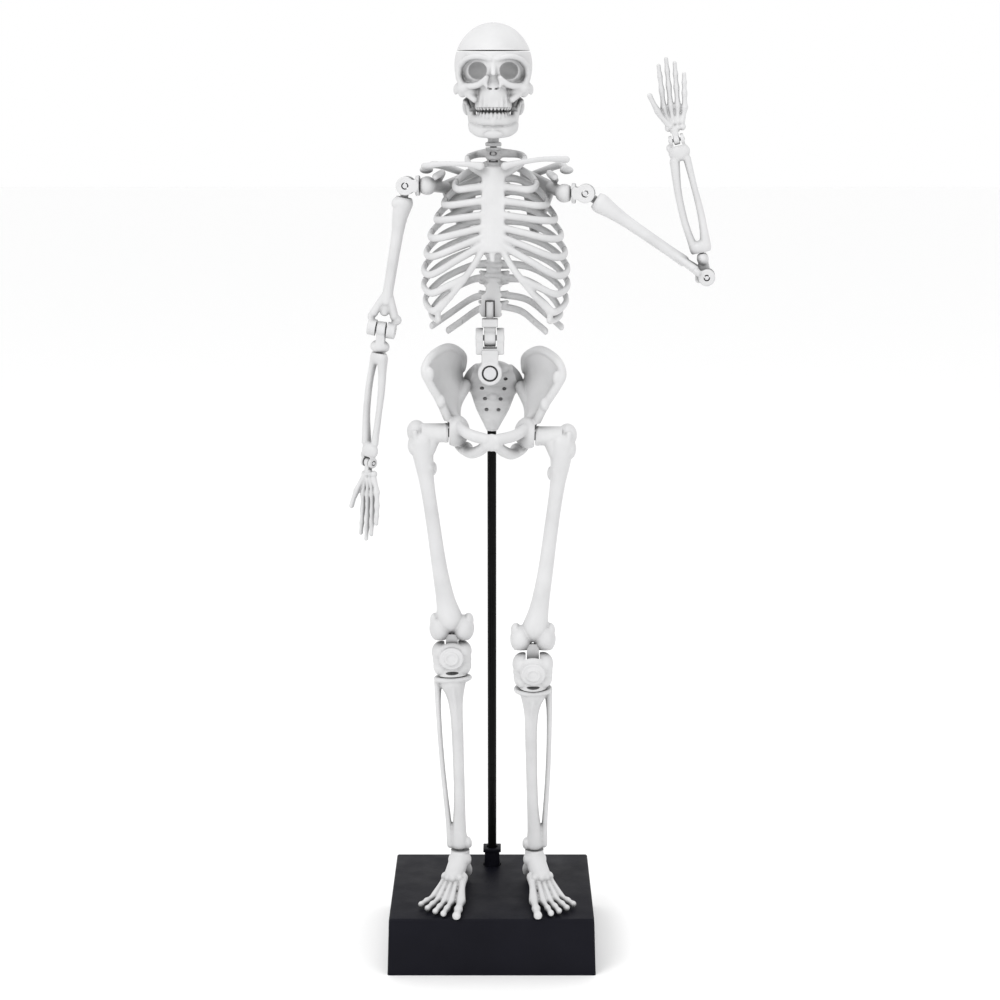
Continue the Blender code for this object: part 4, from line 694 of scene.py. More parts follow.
# Each rib: height at the side, half width there, drop from spine to side, drop to the front.
RIBS = [
    (53.2, 7.1, 0.8, 3.6),
    (46.4, 10.1, 4.6, 0.6),
    (42.0, 12.8, 6.0, -0.4),
    (38.2, 14.7, 6.6, -0.8),
    (34.2, 16.2, 7.0, 0.0),
    (30.0, 17.2, 7.4, 0.4),
    (26.0, 17.8, 7.8, 1.2),
    (22.2, 17.9, 8.0, 2.6),
    (18.4, 17.5, 8.2, 3.6),
    (15.0, 16.1, 8.2, 1.4),
]
STERNUM_RIBS = [49.2, 46.2, 42.8, 39.4, 36.4, 34.2, 32.4]
MARGIN_SHARES = (0.42, 0.72, 1.0)
FLOATING = [
    ((7.0, 8.2, 17.4), (12.4, 5.6, 13.8), (16.2, 1.6, 11.3)),
    ((5.6, 7.0, 14.6), (9.6, 5.2, 11.8), (12.2, 2.6, 10.1)),
]
CAGE_Y = -0.6
CAGE_DEPTH = 9.0
RIB_RADII = (0.7, 0.7, 0.95)


def spine_y(z):
    return float(np.interp(z, SPINE_HEIGHTS, SPINE_DEPTHS))


def sternum_y(z):
    return -6.3 - 3.6 * min(1.0, max(0.0, (51.0 - z) / 19.0))


def margin_point(side, t):
    """A point on the costal margin, from the end of the sternum at t = 0 outwards."""
    return Vector((side * (2.2 + 11.6 * t), -9.9 + 3.6 * t**1.6, 31.4 - 15.6 * t**0.85))


def ribs_shape(clay):
    for side in SIDES.values():
        for number, (height, width, rise, drop) in enumerate(RIBS):
            root_z = height + rise
            root_y = spine_y(root_z)
            back_y = CAGE_Y + CAGE_DEPTH * (0.55 + 0.045 * min(number, 8))
            points = [
                (SPINE_X + side * 1.4, root_y + 0.6, root_z, 1.25),
                (side * width * 0.42, back_y + 0.8, root_z - rise * 0.12, 1.0),
                (side * width * 0.80, back_y - 2.6, height + rise * 0.5, 1.0),
                (side * width, CAGE_Y, height, 1.0),
                (side * width * 0.86, CAGE_Y - 5.4, height - drop * 0.55 - 0.6, 1.0),
            ]
            if number < len(STERNUM_RIBS):
                join_z = STERNUM_RIBS[number]
                end = Vector((side * 2.2, sternum_y(join_z), join_z))
            else:
                end = margin_point(side, MARGIN_SHARES[number - len(STERNUM_RIBS)])
            near = Vector(points[-1][:3])
            middle = near.lerp(end, 0.55)
            middle.y = min(middle.y, end.y + 0.8)
            if number == 0:
                points = points[:1] + [
                    (side * 5.0, 4.4, 53.6, 1.0), (side * 7.0, 0.6, 52.8, 1.0),
                    (side * 6.2, -3.4, 51.4, 1.0),
                ]
                middle = Vector((side * 4.4, -5.6, 50.2))
            strand(clay, [*points, (*middle, 1.05), (*end, 1.15)], RIB_RADII)
        strand(clay, [(*margin_point(side, i / 4), 1.05) for i in range(5)], RIB_RADII)
        for tip in FLOATING:
            root_z = tip[0][2] + 2.0
            root = (SPINE_X + side * 1.2, spine_y(root_z) + 0.4, root_z)
            strand(clay, [root, *mirrored(side, tip)], RIB_RADII)


def spine_shape(clay):
    """Vertebrae with thinner discs between them, side processes and a ridge of spines."""
    count = 17
    low = SPINE_HEIGHTS[0]
    pitch = (NECK_SEAT - low) / count
    for i in range(count + 1):
        z = low + 0.6 + (NECK_SEAT - low - 0.6) * i / count
        wide = 2.35 if z < 44 else 2.0
        y = spine_y(z)
        ellipsoid(clay, (SPINE_X, y, z), (wide, 2.05, pitch * 0.42), 3)
        ellipsoid(clay, (SPINE_X, y, z + pitch / 2), (wide - 0.45, 1.7, pitch * 0.5), 3)
        if 15 < z < 52:
            back = [(SPINE_X, y + 1.2, z, 1.1), (SPINE_X, y + 3.2, z - 0.9, 0.8)]
            strand(clay, back, (0.5, 0.8, 0.7))
            for side in SIDES.values():
                arm = [(SPINE_X, y + 1.2, z, 1.1), (SPINE_X + side * 3.4, y + 1.9, z + 0.5, 0.8)]
                strand(clay, arm, 0.62)
    ellipsoid(clay, (-TORSO_SHIFT, spine_y(low), low + 1.8), (2.9, 2.5, 2.2))
    cylinder(clay, (-TORSO_SHIFT, 0.2, low), (-TORSO_SHIFT, 0.6, low + 5.4), 2.2)


def sternum_shape(clay):
    rows = 40
    for i in range(rows + 1):
        z = 50.4 - 19.4 * i / rows
        t = i / rows
        wide = 2.55 - 0.5 * math.sin(math.pi * min(1.0, t / 0.45)) if t < 0.45 else 2.05 + 0.3 * t
        y = sternum_y(z)
        strand(clay, [(-wide, y, z), (0, y - 0.3, z), (wide, y, z)], (0.75, 0.75, 0.55), 0.6)
    strand(clay, [(0, -10.0, 31.4, 1.2), (0, -9.9, 28.9, 0.8)], (0.9, 0.6, 0.9))


def build_rib_cage():
    def back(clay):
        ribs_shape(clay)
        spine_shape(clay)

    def front(clay):
        ribs_shape(clay)
        sternum_shape(clay)

    far = 60
    cage = cut(fused(back), box, (-far, -far, -far), (far, FIT / 2, far * 2))
    cage = cut(cage, box, (-9, -4, 0), (9, 5, TWIST_SEAT + FIT))
    peg = -TORSO_SHIFT
    cage = cut(cage, cylinder, (peg, 0, 5), (peg, 0, TWIST_SEAT + 4.5), 1.2)
    cage = cut(cage, box, (-6, -6, NECK_SEAT), (6, 12, NECK_SEAT + 9))
    top = (SPINE_X, 2.0, NECK_SEAT + 2)
    cage = cut(cage, cylinder, (SPINE_X, 2.0, NECK_SEAT - 3.6), top, 1.1)
    piece("cage_back", cage, "torso", "ribcage_back")

    sternum = cut(fused(front), box, (-far, -FIT / 2, -far), (far, far, far * 2))
    piece("cage_front", sternum, "torso", "ribcage_front")


# ---- shoulder girdle
def build_girdle(label):
    side = SIDES[label]
    rise = CLAVICLE_RISE[label]
    level_z = SHOULDER_Z[label]

    def clavicle(clay):
        path = [
            (3.0, -8.7, 51.2, 1.15), (5.0, -9.2, 51.5 + rise * 0.1, 0.85),
            (8.0, -9.1, 51.6 + rise * 0.25, 0.7), (12.5, -6.4, 51.4 + rise * 0.5, 0.72),
            (17.4, -2.2, 50.6 + rise * 0.7, 0.95),
        ]
        limb(clay, side, path, 0.9, 0.3)

    piece(f"collar_bone_{label}", fused(clavicle, FINE), "torso", f"clavicle_{label}")

    def scapula(clay):
        tip = Vector((8.6, 10.8, 32.4))
        inner = Vector((5.6, 10.6, 49.5))
        neck = Vector((14.0, 5.4, 46.0))
        lines = 40
        for i in range(lines + 1):
            t = i / lines
            low = inner.lerp(tip, t)
            high = neck.lerp(tip, t)
            middle = (low + high) / 2 + Vector((0.5, 0.5, 0))
            ends = [(*low, 1.1), (*middle, 0.85), (*high, 1.15)]
            limb(clay, side, ends, 0.68, 0.5)
        ridge = [(6.0, 11.6, 47.4), (11.5, 9.8, 49.6), (15.6, 4.6, 51.0), (17.2, 1.2, 50.2)]
        limb(clay, side, ridge, (0.8, 0.8, 0.95))
        ellipsoid(clay, (side * 17.3, 1.0, 49.9), (1.7, 1.6, 1.0))
        hook = [(14.4, 3.0, 47.4), (13.2, -0.6, 49.2), (14.6, -2.6, 48.4)]
        limb(clay, side, hook, 0.85)
        strand(clay, [(side * 13.4, 5.8, 45.4), (side * 16.6, -0.6, level_z)], 1.5)
        ellipsoid(clay, (side * 16.9, SHOULDER_Y, level_z), 2.3)

    blade = fused(scapula)
    start = (side * (SHOULDER_FACE - 2.9), SHOULDER_Y, level_z)
    end = (side * 24, SHOULDER_Y, level_z)
    face = (side * SHOULDER_FACE, SHOULDER_Y, level_z)
    blade = cut(blade, cylinder, start, end, 1.3)
    blade = cut(blade, cylinder, face, end, 2.9)
    piece(f"shoulder_blade_{label}", blade, "torso", f"scapula_{label}")


# ---- skull
CASE_CENTRE = Vector((0.0, -1.0, 14.5))
CASE_RADII = (9.5, 11.75, 10.35)
BRAIN_CENTRE = (0.0, 0.2, 14.5)
BRAIN_RADII = (7.4, 8.6, 8.2)


def case_shape(clay):
    ellipsoid(clay, CASE_CENTRE, CASE_RADII, 5)
    ellipsoid(clay, (0, -9.4, 16.6), (6.4, 3.2, 2.8), 4)


def arch_point(share, half, depth, back):
    """A point on a tooth row: share runs from -1 on one side to 1 on the other."""
    angle = share * math.radians(88)
    return half * math.sin(angle), back - depth * math.cos(angle)


def teeth(clay, half, depth, back, z, tall, count):
    for i in range(count):
        share = (i + 0.5) / count * 2 - 1
        x, y = arch_point(share, half, depth, back)
        face = turn("Z", -share * 80)
        ellipsoid(clay, (x, y, z), (0.47, 0.5, tall), 3, face)


def cranium_shape(clay):
    case_shape(clay)
    ellipsoid(clay, (0, -8.4, 8.2), (3.9, 4.4, 5.4), 4)
    ellipsoid(clay, (0, 3.6, 6.6), (6.2, 6.6, 4.4), 4)
    ellipsoid(clay, (0, 0, 2.2), (3.9, 4.2, 3.4), 4)
    ellipsoid(clay, (0, -11.2, 13.8), (1.5, 1.5, 2.4), 3)
    strand(clay, [(0, -12.3, 14.6, 1.1), (0, -13.4, 12.6, 0.8)], (0.85, 0.7, 0.7))
    alveolus = [arch_point(share / 8, 3.75, 5.3, -6.4) for share in range(-8, 9)]
    strand(clay, [(x, y, 5.4) for x, y in alveolus], (0.75, 0.75, 1.5))
    for side in SIDES.values():
        brow = [(0.8, -12.3, 15.9), (3.6, -12.7, 16.6), (6.4, -11.1, 16.0), (8.1, -8.9, 14.2)]
        limb(clay, side, brow, (0.85, 0.8, 0.68))
        rim = [(8.1, -8.9, 14.2), (8.3, -8.6, 12.0), (7.6, -8.9, 10.2)]
        limb(clay, side, rim, 0.85)
        cheek = [(7.4, -8.9, 9.8), (5.2, -10.7, 9.7), (3.2, -11.9, 10.2), (1.9, -12.6, 11.6)]
        limb(clay, side, cheek, 0.85)
        ellipsoid(clay, (side * 6.9, -8.6, 9.2), (1.9, 1.8, 1.6), 3)
        ellipsoid(clay, (side * 7.4, -7.8, 8.4), (1.2, 1.6, 1.5), 3)
        strand(clay, [(side * 6.6, -8.8, 8.4), (side * 4.4, -9.8, 6.6)], 0.95)
        ellipsoid(clay, (side * 5.0, -8.6, 8.6), (2.0, 1.7, 1.9), 3)
        nostril = [(1.25, -12.6, 11.8), (1.75, -12.6, 10.2), (1.2, -12.5, 8.9)]
        limb(clay, side, nostril, (0.42, 0.6, 0.5))
        arch = [(7.9, -7.6, 9.3), (9.05, -4.6, 8.9), (9.05, -1.0, 8.9), (8.2, 1.8, 9.8)]
        limb(clay, side, arch, (0.6, 0.8, 1.3))
        ellipsoid(clay, (side * 6.2, 3.2, 4.8), (1.5, 1.8, 2.4), 3)
        ellipsoid(clay, (side * 3.6, -3.0, 5.6), (1.0, 1.3, 2.6), 3)
        for x, y in ((1.0, -12.2), (2.1, -11.9), (3.1, -11.0)):
            strand(clay, [(side * x, y, 4.8, 1.0), (side * x, y + 0.2, 7.4, 0.7)], 0.42)


def face_hollows(clay):
    for side in SIDES.values():
        ellipsoid(clay, (side * 4.35, -12.7, 13.2), (2.85, 3.6, 2.3), 4, turn("Y", side * 10))
        ellipsoid(clay, (side * 10.5, -6.6, 14.0), (1.7, 2.8, 2.8), 3)
        ellipsoid(clay, (side * 7.0, -4.4, 7.0), (1.4, 2.2, 2.0), 3)
        ellipsoid(clay, (side * 9.0, 1.2, 8.4), (0.9, 0.6, 0.6), 3)
        strand(clay, [(side * 0.7, -13.2, 9.6), (side * 0.15, -13.2, 11.9)], (0.85, 4.6, 0.8))


def grooved(mesh, distance, width=0.22, depth=0.13):
    """Presses a fine groove into the skin where distance(points) is near zero."""
    count = len(mesh.vertices)
    points = np.empty(count * 3)
    mesh.vertices.foreach_get("co", points)
    points = points.reshape(-1, 3)
    normals = np.empty(count * 3)
    mesh.vertices.foreach_get("normal", normals)
    normals = normals.reshape(-1, 3)
    near = np.exp(-((distance(points) / width) ** 2))
    points -= normals * (near * depth)[:, None]
    mesh.vertices.foreach_set("co", points.ravel())
    mesh.update()
    return mesh


def sutures(points):
    """Distance from the crown's seams: one across the front half, one along the middle."""
    x, y, z = points.T
    wiggle = 0.16 * np.sin(x * 5.2) + 0.1 * np.sin(y * 6.1)
    across = np.abs(y + 3.6 - 0.05 * x * x + wiggle)
    middle = np.abs(x + 0.14 * np.sin(y * 6.0))
    middle = np.where((y > -3.6) & (y < 7.4), middle, 9.0)
    back = np.abs(y - 7.4 - 0.22 * np.abs(x) + wiggle)
    return np.where(z > 17.0, np.minimum(np.minimum(across, middle), back), 9.0)


def build_skull():
    face = carved(fused(cranium_shape), face_hollows)
    lid = CAP_CUT - FIT / 2
    face = cut(face, box, (-20, -20, lid), (20, 20, 40))
    face = cut(face, ellipsoid, BRAIN_CENTRE, BRAIN_RADII)
    face = cut(face, box, (-5.2, -16, TEETH_LINE - 5), (5.2, -4.4, 4.7))
    face = cut(face, ellipsoid, (0, 0, 0), 2.1)
    face = cut(face, cylinder, (0, 0, 0), (0, 0, -5), 1.65, end_radius=3.85)

    def upper_row(clay):
        teeth(clay, 4.0, 5.6, -6.2, 5.0, 1.1, 14)

    row = cut(fused(upper_row, 0.12, 1), box, (-6, -14, 0), (6, 0, TEETH_LINE))
    piece("skull_face", boolean(face, "UNION", row), "skull", "cranium")

    dome = grooved(fused(case_shape), sutures)
    top = CAP_CUT + FIT / 2
    dome = cut(dome, box, (-20, -20, -10), (20, 20, top))
    dome = cut(dome, ellipsoid, BRAIN_CENTRE, BRAIN_RADII)
    piece("skull_lid", dome, "skull_cap", "skull_cap")

    def jaw_shape(clay):
        for side in SIDES.values():
            low = [(5.3, -2.4, 0.3), (5.0, -5.4, -0.3), (3.3, -9.0, -1.1), (0, -10.9, -1.4)]
            limb(clay, side, low, (0.9, 0.9, 1.4))
            row = [(5.1, -3.6, 1.7), (4.3, -5.8, 1.6), (3.0, -9.2, 1.5), (0, -11.0, 1.4)]
            limb(clay, side, row, (0.75, 0.75, 1.3))
            rear = [(5.4, -2.2, 0.6, 1.1), (5.7, -1.8, 3.0, 1.1), (6.3, -1.0, 5.4, 0.9)]
            limb(clay, side, rear, (0.6, 1.5, 1.0))
            front = [(5.3, -4.0, 2.0, 1.0), (5.9, -3.6, 4.6, 0.8)]
            limb(clay, side, front, (0.55, 0.9, 1.0))
            ellipsoid(clay, (side * 6.7, -0.8, 6.0), (0.8, 1.1, 0.7), 3)
            ellipsoid(clay, (side * 5.0, -4.0, 3.0), (0.8, 1.2, 1.8), 3)
        ellipsoid(clay, (0, -11.3, -1.7), (2.3, 0.9, 1.0), 3)
        teeth(clay, 3.65, 5.1, -6.2, 2.6, 1.05, 12)

    jaw = fused(jaw_shape, FINE, 2)
    jaw = cut(jaw, box, (-6, -16, TEETH_LINE - FIT), (6, -4.4, 9))
    piece("lower_jaw", jaw, "jaw", "mandible")

    def column(clay):
        seat = NECK_SEAT + FIT - 60.5
        cylinder(clay, (0, 0, seat), (0, 0, 0), 1.35)
        cylinder(clay, (0, 0, seat), (0, 0, seat + 1.0), 2.0, bevel=0.25)
        ellipsoid(clay, (0, 0, seat + 2.2), (1.7, 1.7, 0.6), 3)
        ellipsoid(clay, (0, 0, 0), 1.78)

    neck = fused(column, FINE, 1)
    low = NECK_SEAT - 3.3 - 60.5
    neck = join(neck, cylinder, (0, 0, low), (0, 0, -4), 0.8)
    piece("neck_column", neck, "neck", "neck_peg")


# ---- arm
def build_shoulder(label):
    side = SIDES[label]
    half = 1.3
    cheek = half + FIT

    def yoke_shape(clay):
        inner = side * (SHOULDER_FACE + FIT - SHOULDER_X)
        outer = side * (SHOULDER_FACE + FIT + 1.0 - SHOULDER_X)
        cylinder(clay, (inner, 0, 0), (outer, 0, 0), cheek + 0.9, bevel=0.15)
        for y in (cheek, -cheek - 0.9):
            low, high = sorted((inner + side * 0.4, 0))
            box(clay, (low, y, -1.5), (high, y + 0.9, 1.5), 0.12)
            cylinder(clay, (0, y, 0), (0, y + 0.9, 0), 2.3, bevel=0.15)

    yoke = fused(yoke_shape, FINE, 1)
    peg_in = side * (SHOULDER_FACE - 2.6 - SHOULDER_X)
    peg_out = side * (SHOULDER_FACE + 0.8 - SHOULDER_X)
    yoke = join(yoke, cylinder, (peg_in, 0, 0), (peg_out, 0, 0), 1.0)
    yoke = cut(yoke, cylinder, (0, -5, 0), (0, 5, 0), 0.9)
    body = f"shoulder_yoke_{label}"
    piece(f"shoulder_fork_{label}", yoke, body, body)
    end = cheek + 1.0
    pin(f"shoulder_rivet_{label}", body, f"shoulder_pin_{label}", (0, -end, 0), (0, end, 0), 0.6)

    hub = shaped(cylinder, (0, -half, 0), (0, half, 0), 2.0, 64, bevel=0.15)
    hub = join(hub, cylinder, (0, 0, -1), (0, 0, -5.4), 1.0)
    hub = cut(hub, cylinder, (0, -5, 0), (0, 5, 0), 0.9)
    body = f"shoulder_hub_{label}"
    piece(f"shoulder_knuckle_{label}", hub, body, body)


def build_upper_arm(label):
    side = SIDES[label]
    end = -UPPER_ARM

    def humerus(clay):
        shaft = [
            (0, 0, -4.4, 1.75), (0.2, 0, -8.0, 1.35), (0.1, 0, -13.0, 1.05), (0, 0, -24.0, 0.95),
            (0, 0, -29.0, 1.0),
        ]
        limb(clay, side, shaft, 1.42)
        for x in (-1.0, 1.0):
            strand(clay, [(0, 0, -26.0, 0.9), (x * 2.6, 0, -32.4, 1.1)], (1.0, 0.95, 1.0))
        strand(clay, [(0, -0.1, -27.0, 1.0), (0, -0.1, -32.0, 0.8)], (1.3, 0.8, 1.0))
        ellipsoid(clay, (-side * 3.3, 0.2, -33.2), (1.3, 0.9, 1.3), 3)
        ellipsoid(clay, (side * 3.1, 0.2, -33.4), (1.0, 0.9, 1.2), 3)
        ellipsoid(clay, (side * 1.3, -0.6, -4.6), (1.5, 1.7, 1.6), 3)
        cylinder(clay, (-3.55, 0, end), (3.55, 0, end), 2.05, bevel=0.2)

    bone = fused(humerus)
    bone = cut(bone, box, (-5, -5, -2.9), (5, 5, 4))
    bone = cut(bone, cylinder, (0, 0, -5.7), (0, 0, 0), 1.3)
    bone = cut(bone, box, (-1.45, -5, end - 5), (1.45, 5, end + 2.2))
    bone = cut(bone, cylinder, (-6, 0, end), (6, 0, end), 0.8)
    body = f"upper_arm_{label}"
    piece(f"upper_arm_bone_{label}", bone, body, f"humerus_{label}")
    pin(f"elbow_rivet_{label}", body, f"elbow_pin_{label}", (-3.65, 0, end), (3.65, 0, end), 0.5)

    def elbow(clay):
        ellipsoid(clay, (0, 0, -4.5), (2.45, 1.45, 1.75))
        cylinder(clay, (-1.1, 0, 0), (1.1, 0, 0), 1.85, bevel=0.1)
        box(clay, (-1.1, -1.2, -3.6), (1.1, 1.2, 0))
        strand(clay, [(0, 0.3, -3.5), (0, 1.5, -1.5), (0, 2.0, 0.2)], (0.9, 0.95, 0.95))

    block = fused(elbow, FINE, 2)
    for x in (-1, 1):
        inner, outer = sorted((x * 1.15, x * 5))
        block = cut(block, box, (inner, -5, -2.6), (outer, 5, 5))
    face = -FOREARM_TOP + FIT
    block = cut(block, box, (-5, -5, -9), (5, 5, face))
    low = -FOREARM_TOP - 1.8
    block = join(block, cylinder, (0, 0, face + 1), (0, 0, low), 0.6)
    block = cut(block, cylinder, (-3, 0, 0), (3, 0, 0), 0.8)
    piece(f"elbow_knuckle_{label}", block, f"elbow_{label}", f"elbow_block_{label}")


def build_forearm(label):
    side = SIDES[label]
    end = -FOREARM

    def forearm(clay):
        ellipsoid(clay, (0, 0, -FOREARM_TOP - 1.0), (2.65, 1.65, 2.0))
        radius = [
            (1.4, 0, -7.4, 1.35), (1.9, -0.1, -10.0, 1.0), (2.4, -0.2, -15.0, 0.95),
            (2.35, -0.2, -22.0, 1.0), (1.6, 0, -29.0, 1.3),
        ]
        limb(clay, side, radius, 0.96)
        ulna = [
            (-1.3, 0, -7.4, 1.5), (-1.7, 0.1, -11.0, 1.1), (-1.9, 0.2, -16.0, 0.95),
            (-1.7, 0.2, -22.0, 0.85), (-1.5, 0, -29.0, 1.0),
        ]
        limb(clay, side, ulna, 0.96)
        ellipsoid(clay, (0, 0, -31.0), (2.65, 1.35, 2.2))
        ellipsoid(clay, (side * 2.2, 0, -32.4), (0.7, 0.8, 1.0), 3)
        cylinder(clay, (-1.85, 0, end), (1.85, 0, end), 1.3, bevel=0.1)

    bone = fused(forearm)
    bone = cut(bone, box, (-5, -5, -FOREARM_TOP), (5, 5, 0))
    bone = cut(bone, cylinder, (0, 0, -8.2), (0, 0, -4), 0.9)
    bone = cut(bone, box, (-1.05, -5, end - 4), (1.05, 5, end + 1.5))
    bone = cut(bone, cylinder, (-4, 0, end), (4, 0, end), 0.65)
    body = f"forearm_{label}"
    piece(f"forearm_bones_{label}", bone, body, body)
    pin(f"wrist_rivet_{label}", body, f"wrist_pin_{label}", (-2.0, 0, end), (2.0, 0, end), 0.4)


# Each finger: sideways place of knuckle and tip, knuckle's and tip's distance from the wrist.
FINGERS = [
    (-2.7, -3.3, 7.6, 15.4),
    (-1.05, -1.3, 8.2, 18.2),
    (0.65, 0.65, 8.4, 19.4),
    (2.35, 2.6, 8.0, 18.0),
]
PHALANX_ENDS = (0.42, 0.72)


def build_hand(label):
    side = SIDES[label]
    lean = turn("Y", -side * HAND_LEAN[label])

    def leaned(points):
        return [(*(lean @ Vector((side * x, y, z))), k) for x, y, z, k in points]

    def shape(clay):
        cylinder(clay, (-0.72, 0, 0), (0.72, 0, 0), 1.15, bevel=0.08)
        strand(clay, [(0, 0, -0.6), (0, 0, -2.4)], (1.1, 0.9, 0.8))
        for x in (-1.7, -0.55, 0.6, 1.75):
            ellipsoid(clay, lean @ Vector((side * x, 0.1, -3.0)), (0.85, 0.9, 0.9), 3)
            ellipsoid(clay, lean @ Vector((side * x, 0, -4.2)), (0.8, 0.8, 0.75), 3)
        for knuckle, tip, near, far in FINGERS:
            length = far - near
            metacarpal = [
                (knuckle * 0.62, 0, -4.4, 1.1), (knuckle * 0.85, 0.1, -(4.4 + near) / 2, 0.82),
                (knuckle, 0, -near, 1.12),
            ]
            strand(clay, leaned(metacarpal), 0.76, 0.3)
            start = 0.0
            for number, share in enumerate((*PHALANX_ENDS, 1.0)):
                a, b = near + length * start + 0.15, near + length * share
                bone = []
                for t, size in ((0.0, 1.05), (0.5, 0.8), (1.0, 1.0 - 0.1 * number)):
                    z = a + (b - a) * t
                    along_finger = (z - near) / length
                    x = knuckle + (tip - knuckle) * along_finger
                    bone.append((x, -0.9 * along_finger**1.5, -z, size * (1 - 0.06 * number)))
                strand(clay, leaned(bone), 0.74, 0.3)
                start = share
        thumb = [(1.2, -0.2, -3.4, 1.2), (2.9, -0.6, -5.6, 0.95), (3.9, -0.9, -7.4, 1.15)]
        strand(clay, leaned(thumb), 0.74, 0.3)
        tip = [(3.9, -0.9, -7.4, 1.1), (4.7, -1.2, -9.3, 0.85), (5.4, -1.4, -11.2, 0.9)]
        strand(clay, leaned(tip), 0.72, 0.3)

    hand = fused(shape, FINE, 2)
    for x in (-1, 1):
        inner, outer = sorted((x * 0.75, x * 4))
        hand = cut(hand, box, (inner, -3, -1.8), (outer, 3, 3))
    hand = cut(hand, cylinder, (-3, 0, 0), (3, 0, 0), 0.65)
    body = f"hand_{label}"
    piece(f"hand_bones_{label}", hand, body, body)


# ---- leg
def build_thigh(label):
    side = SIDES[label]
    knee = Vector((-side * KNEE_IN, 0, -THIGH))
    neck_end = side * (HIP_FACE + FIT - HIP_X)

    def femur(clay):
        cylinder(clay, (neck_end - side, 0, 0), (side * 3.6, 0, 0), 2.4)
        ellipsoid(clay, (neck_end + side * 0.6, 0, 0), (1.0, 2.55, 2.55), 3)
        shaft = [
            (3.5, 0, -2.0, 1.6), (3.1, 0, -7.0, 1.25), (2.3, -0.3, -13.0, 0.95),
            (1.0, -0.6, -22.0, 0.9), (-0.6, -0.6, -34.0, 0.98), (-2.1, -0.2, -43.0, 1.22),
            (-3.2, 0, -48.5, 1.7),
        ]
        limb(clay, side, shaft, (1.98, 1.9, 1.98), 0.6)
        strand(clay, [(side * 0.6, 0, -0.4), (side * 2.2, 0, -4.2)], 2.1)
        ellipsoid(clay, (side * 4.9, 0.8, 0.2), (2.4, 2.7, 2.9))
        ellipsoid(clay, (side * 5.6, 0.2, -3.2), (1.5, 2.2, 2.6), 3)
        ridge = [(5.2, -1.9, 0.4, 1.0), (4.2, -1.9, -4.0, 0.9), (1.4, -1.2, -8.6, 0.8)]
        limb(clay, side, ridge, 0.8)
        ellipsoid(clay, (side * 1.2, 1.2, -9.4), (1.4, 1.3, 2.0), 3)
        for x in (-1.0, 1.0):
            place = (knee.x + x * 3.0, 0.4, -51.0)
            ellipsoid(clay, place, (2.75, 3.3, 3.5))
            ellipsoid(clay, (knee.x + x * 4.3, 0.2, -48.8), (1.3, 1.8, 1.9), 3)

    bone = fused(femur)
    inner = sorted((neck_end, neck_end - side * 4))
    bone = cut(bone, box, (inner[0], -4, -4), (inner[1], 4, 4))
    peg_end = side * (HIP_FACE - 3.2 - HIP_X)
    bone = join(bone, cylinder, (peg_end, 0, 0), (neck_end + side, 0, 0), 1.1)
    end = -FEMUR_END
    bone = cut(bone, box, (knee.x - 8, -8, end - 6), (knee.x + 8, 8, end))

    def tongue(clay):
        cylinder(clay, (knee.x - 1.5, 0, knee.z), (knee.x + 1.5, 0, knee.z), 2.4, 64, bevel=0.15)

    bone = join(bone, tongue)
    low = (knee.x - 1.5, -1.4, knee.z + 1.0)
    bone = join(bone, box, low, (knee.x + 1.5, 1.4, end + 1.5))
    left, right = (knee.x - 8, 0, knee.z), (knee.x + 8, 0, knee.z)
    bone = cut(bone, cylinder, left, right, 1.0)
    piece(f"thigh_bone_{label}", bone, f"thigh_{label}", f"femur_{label}")


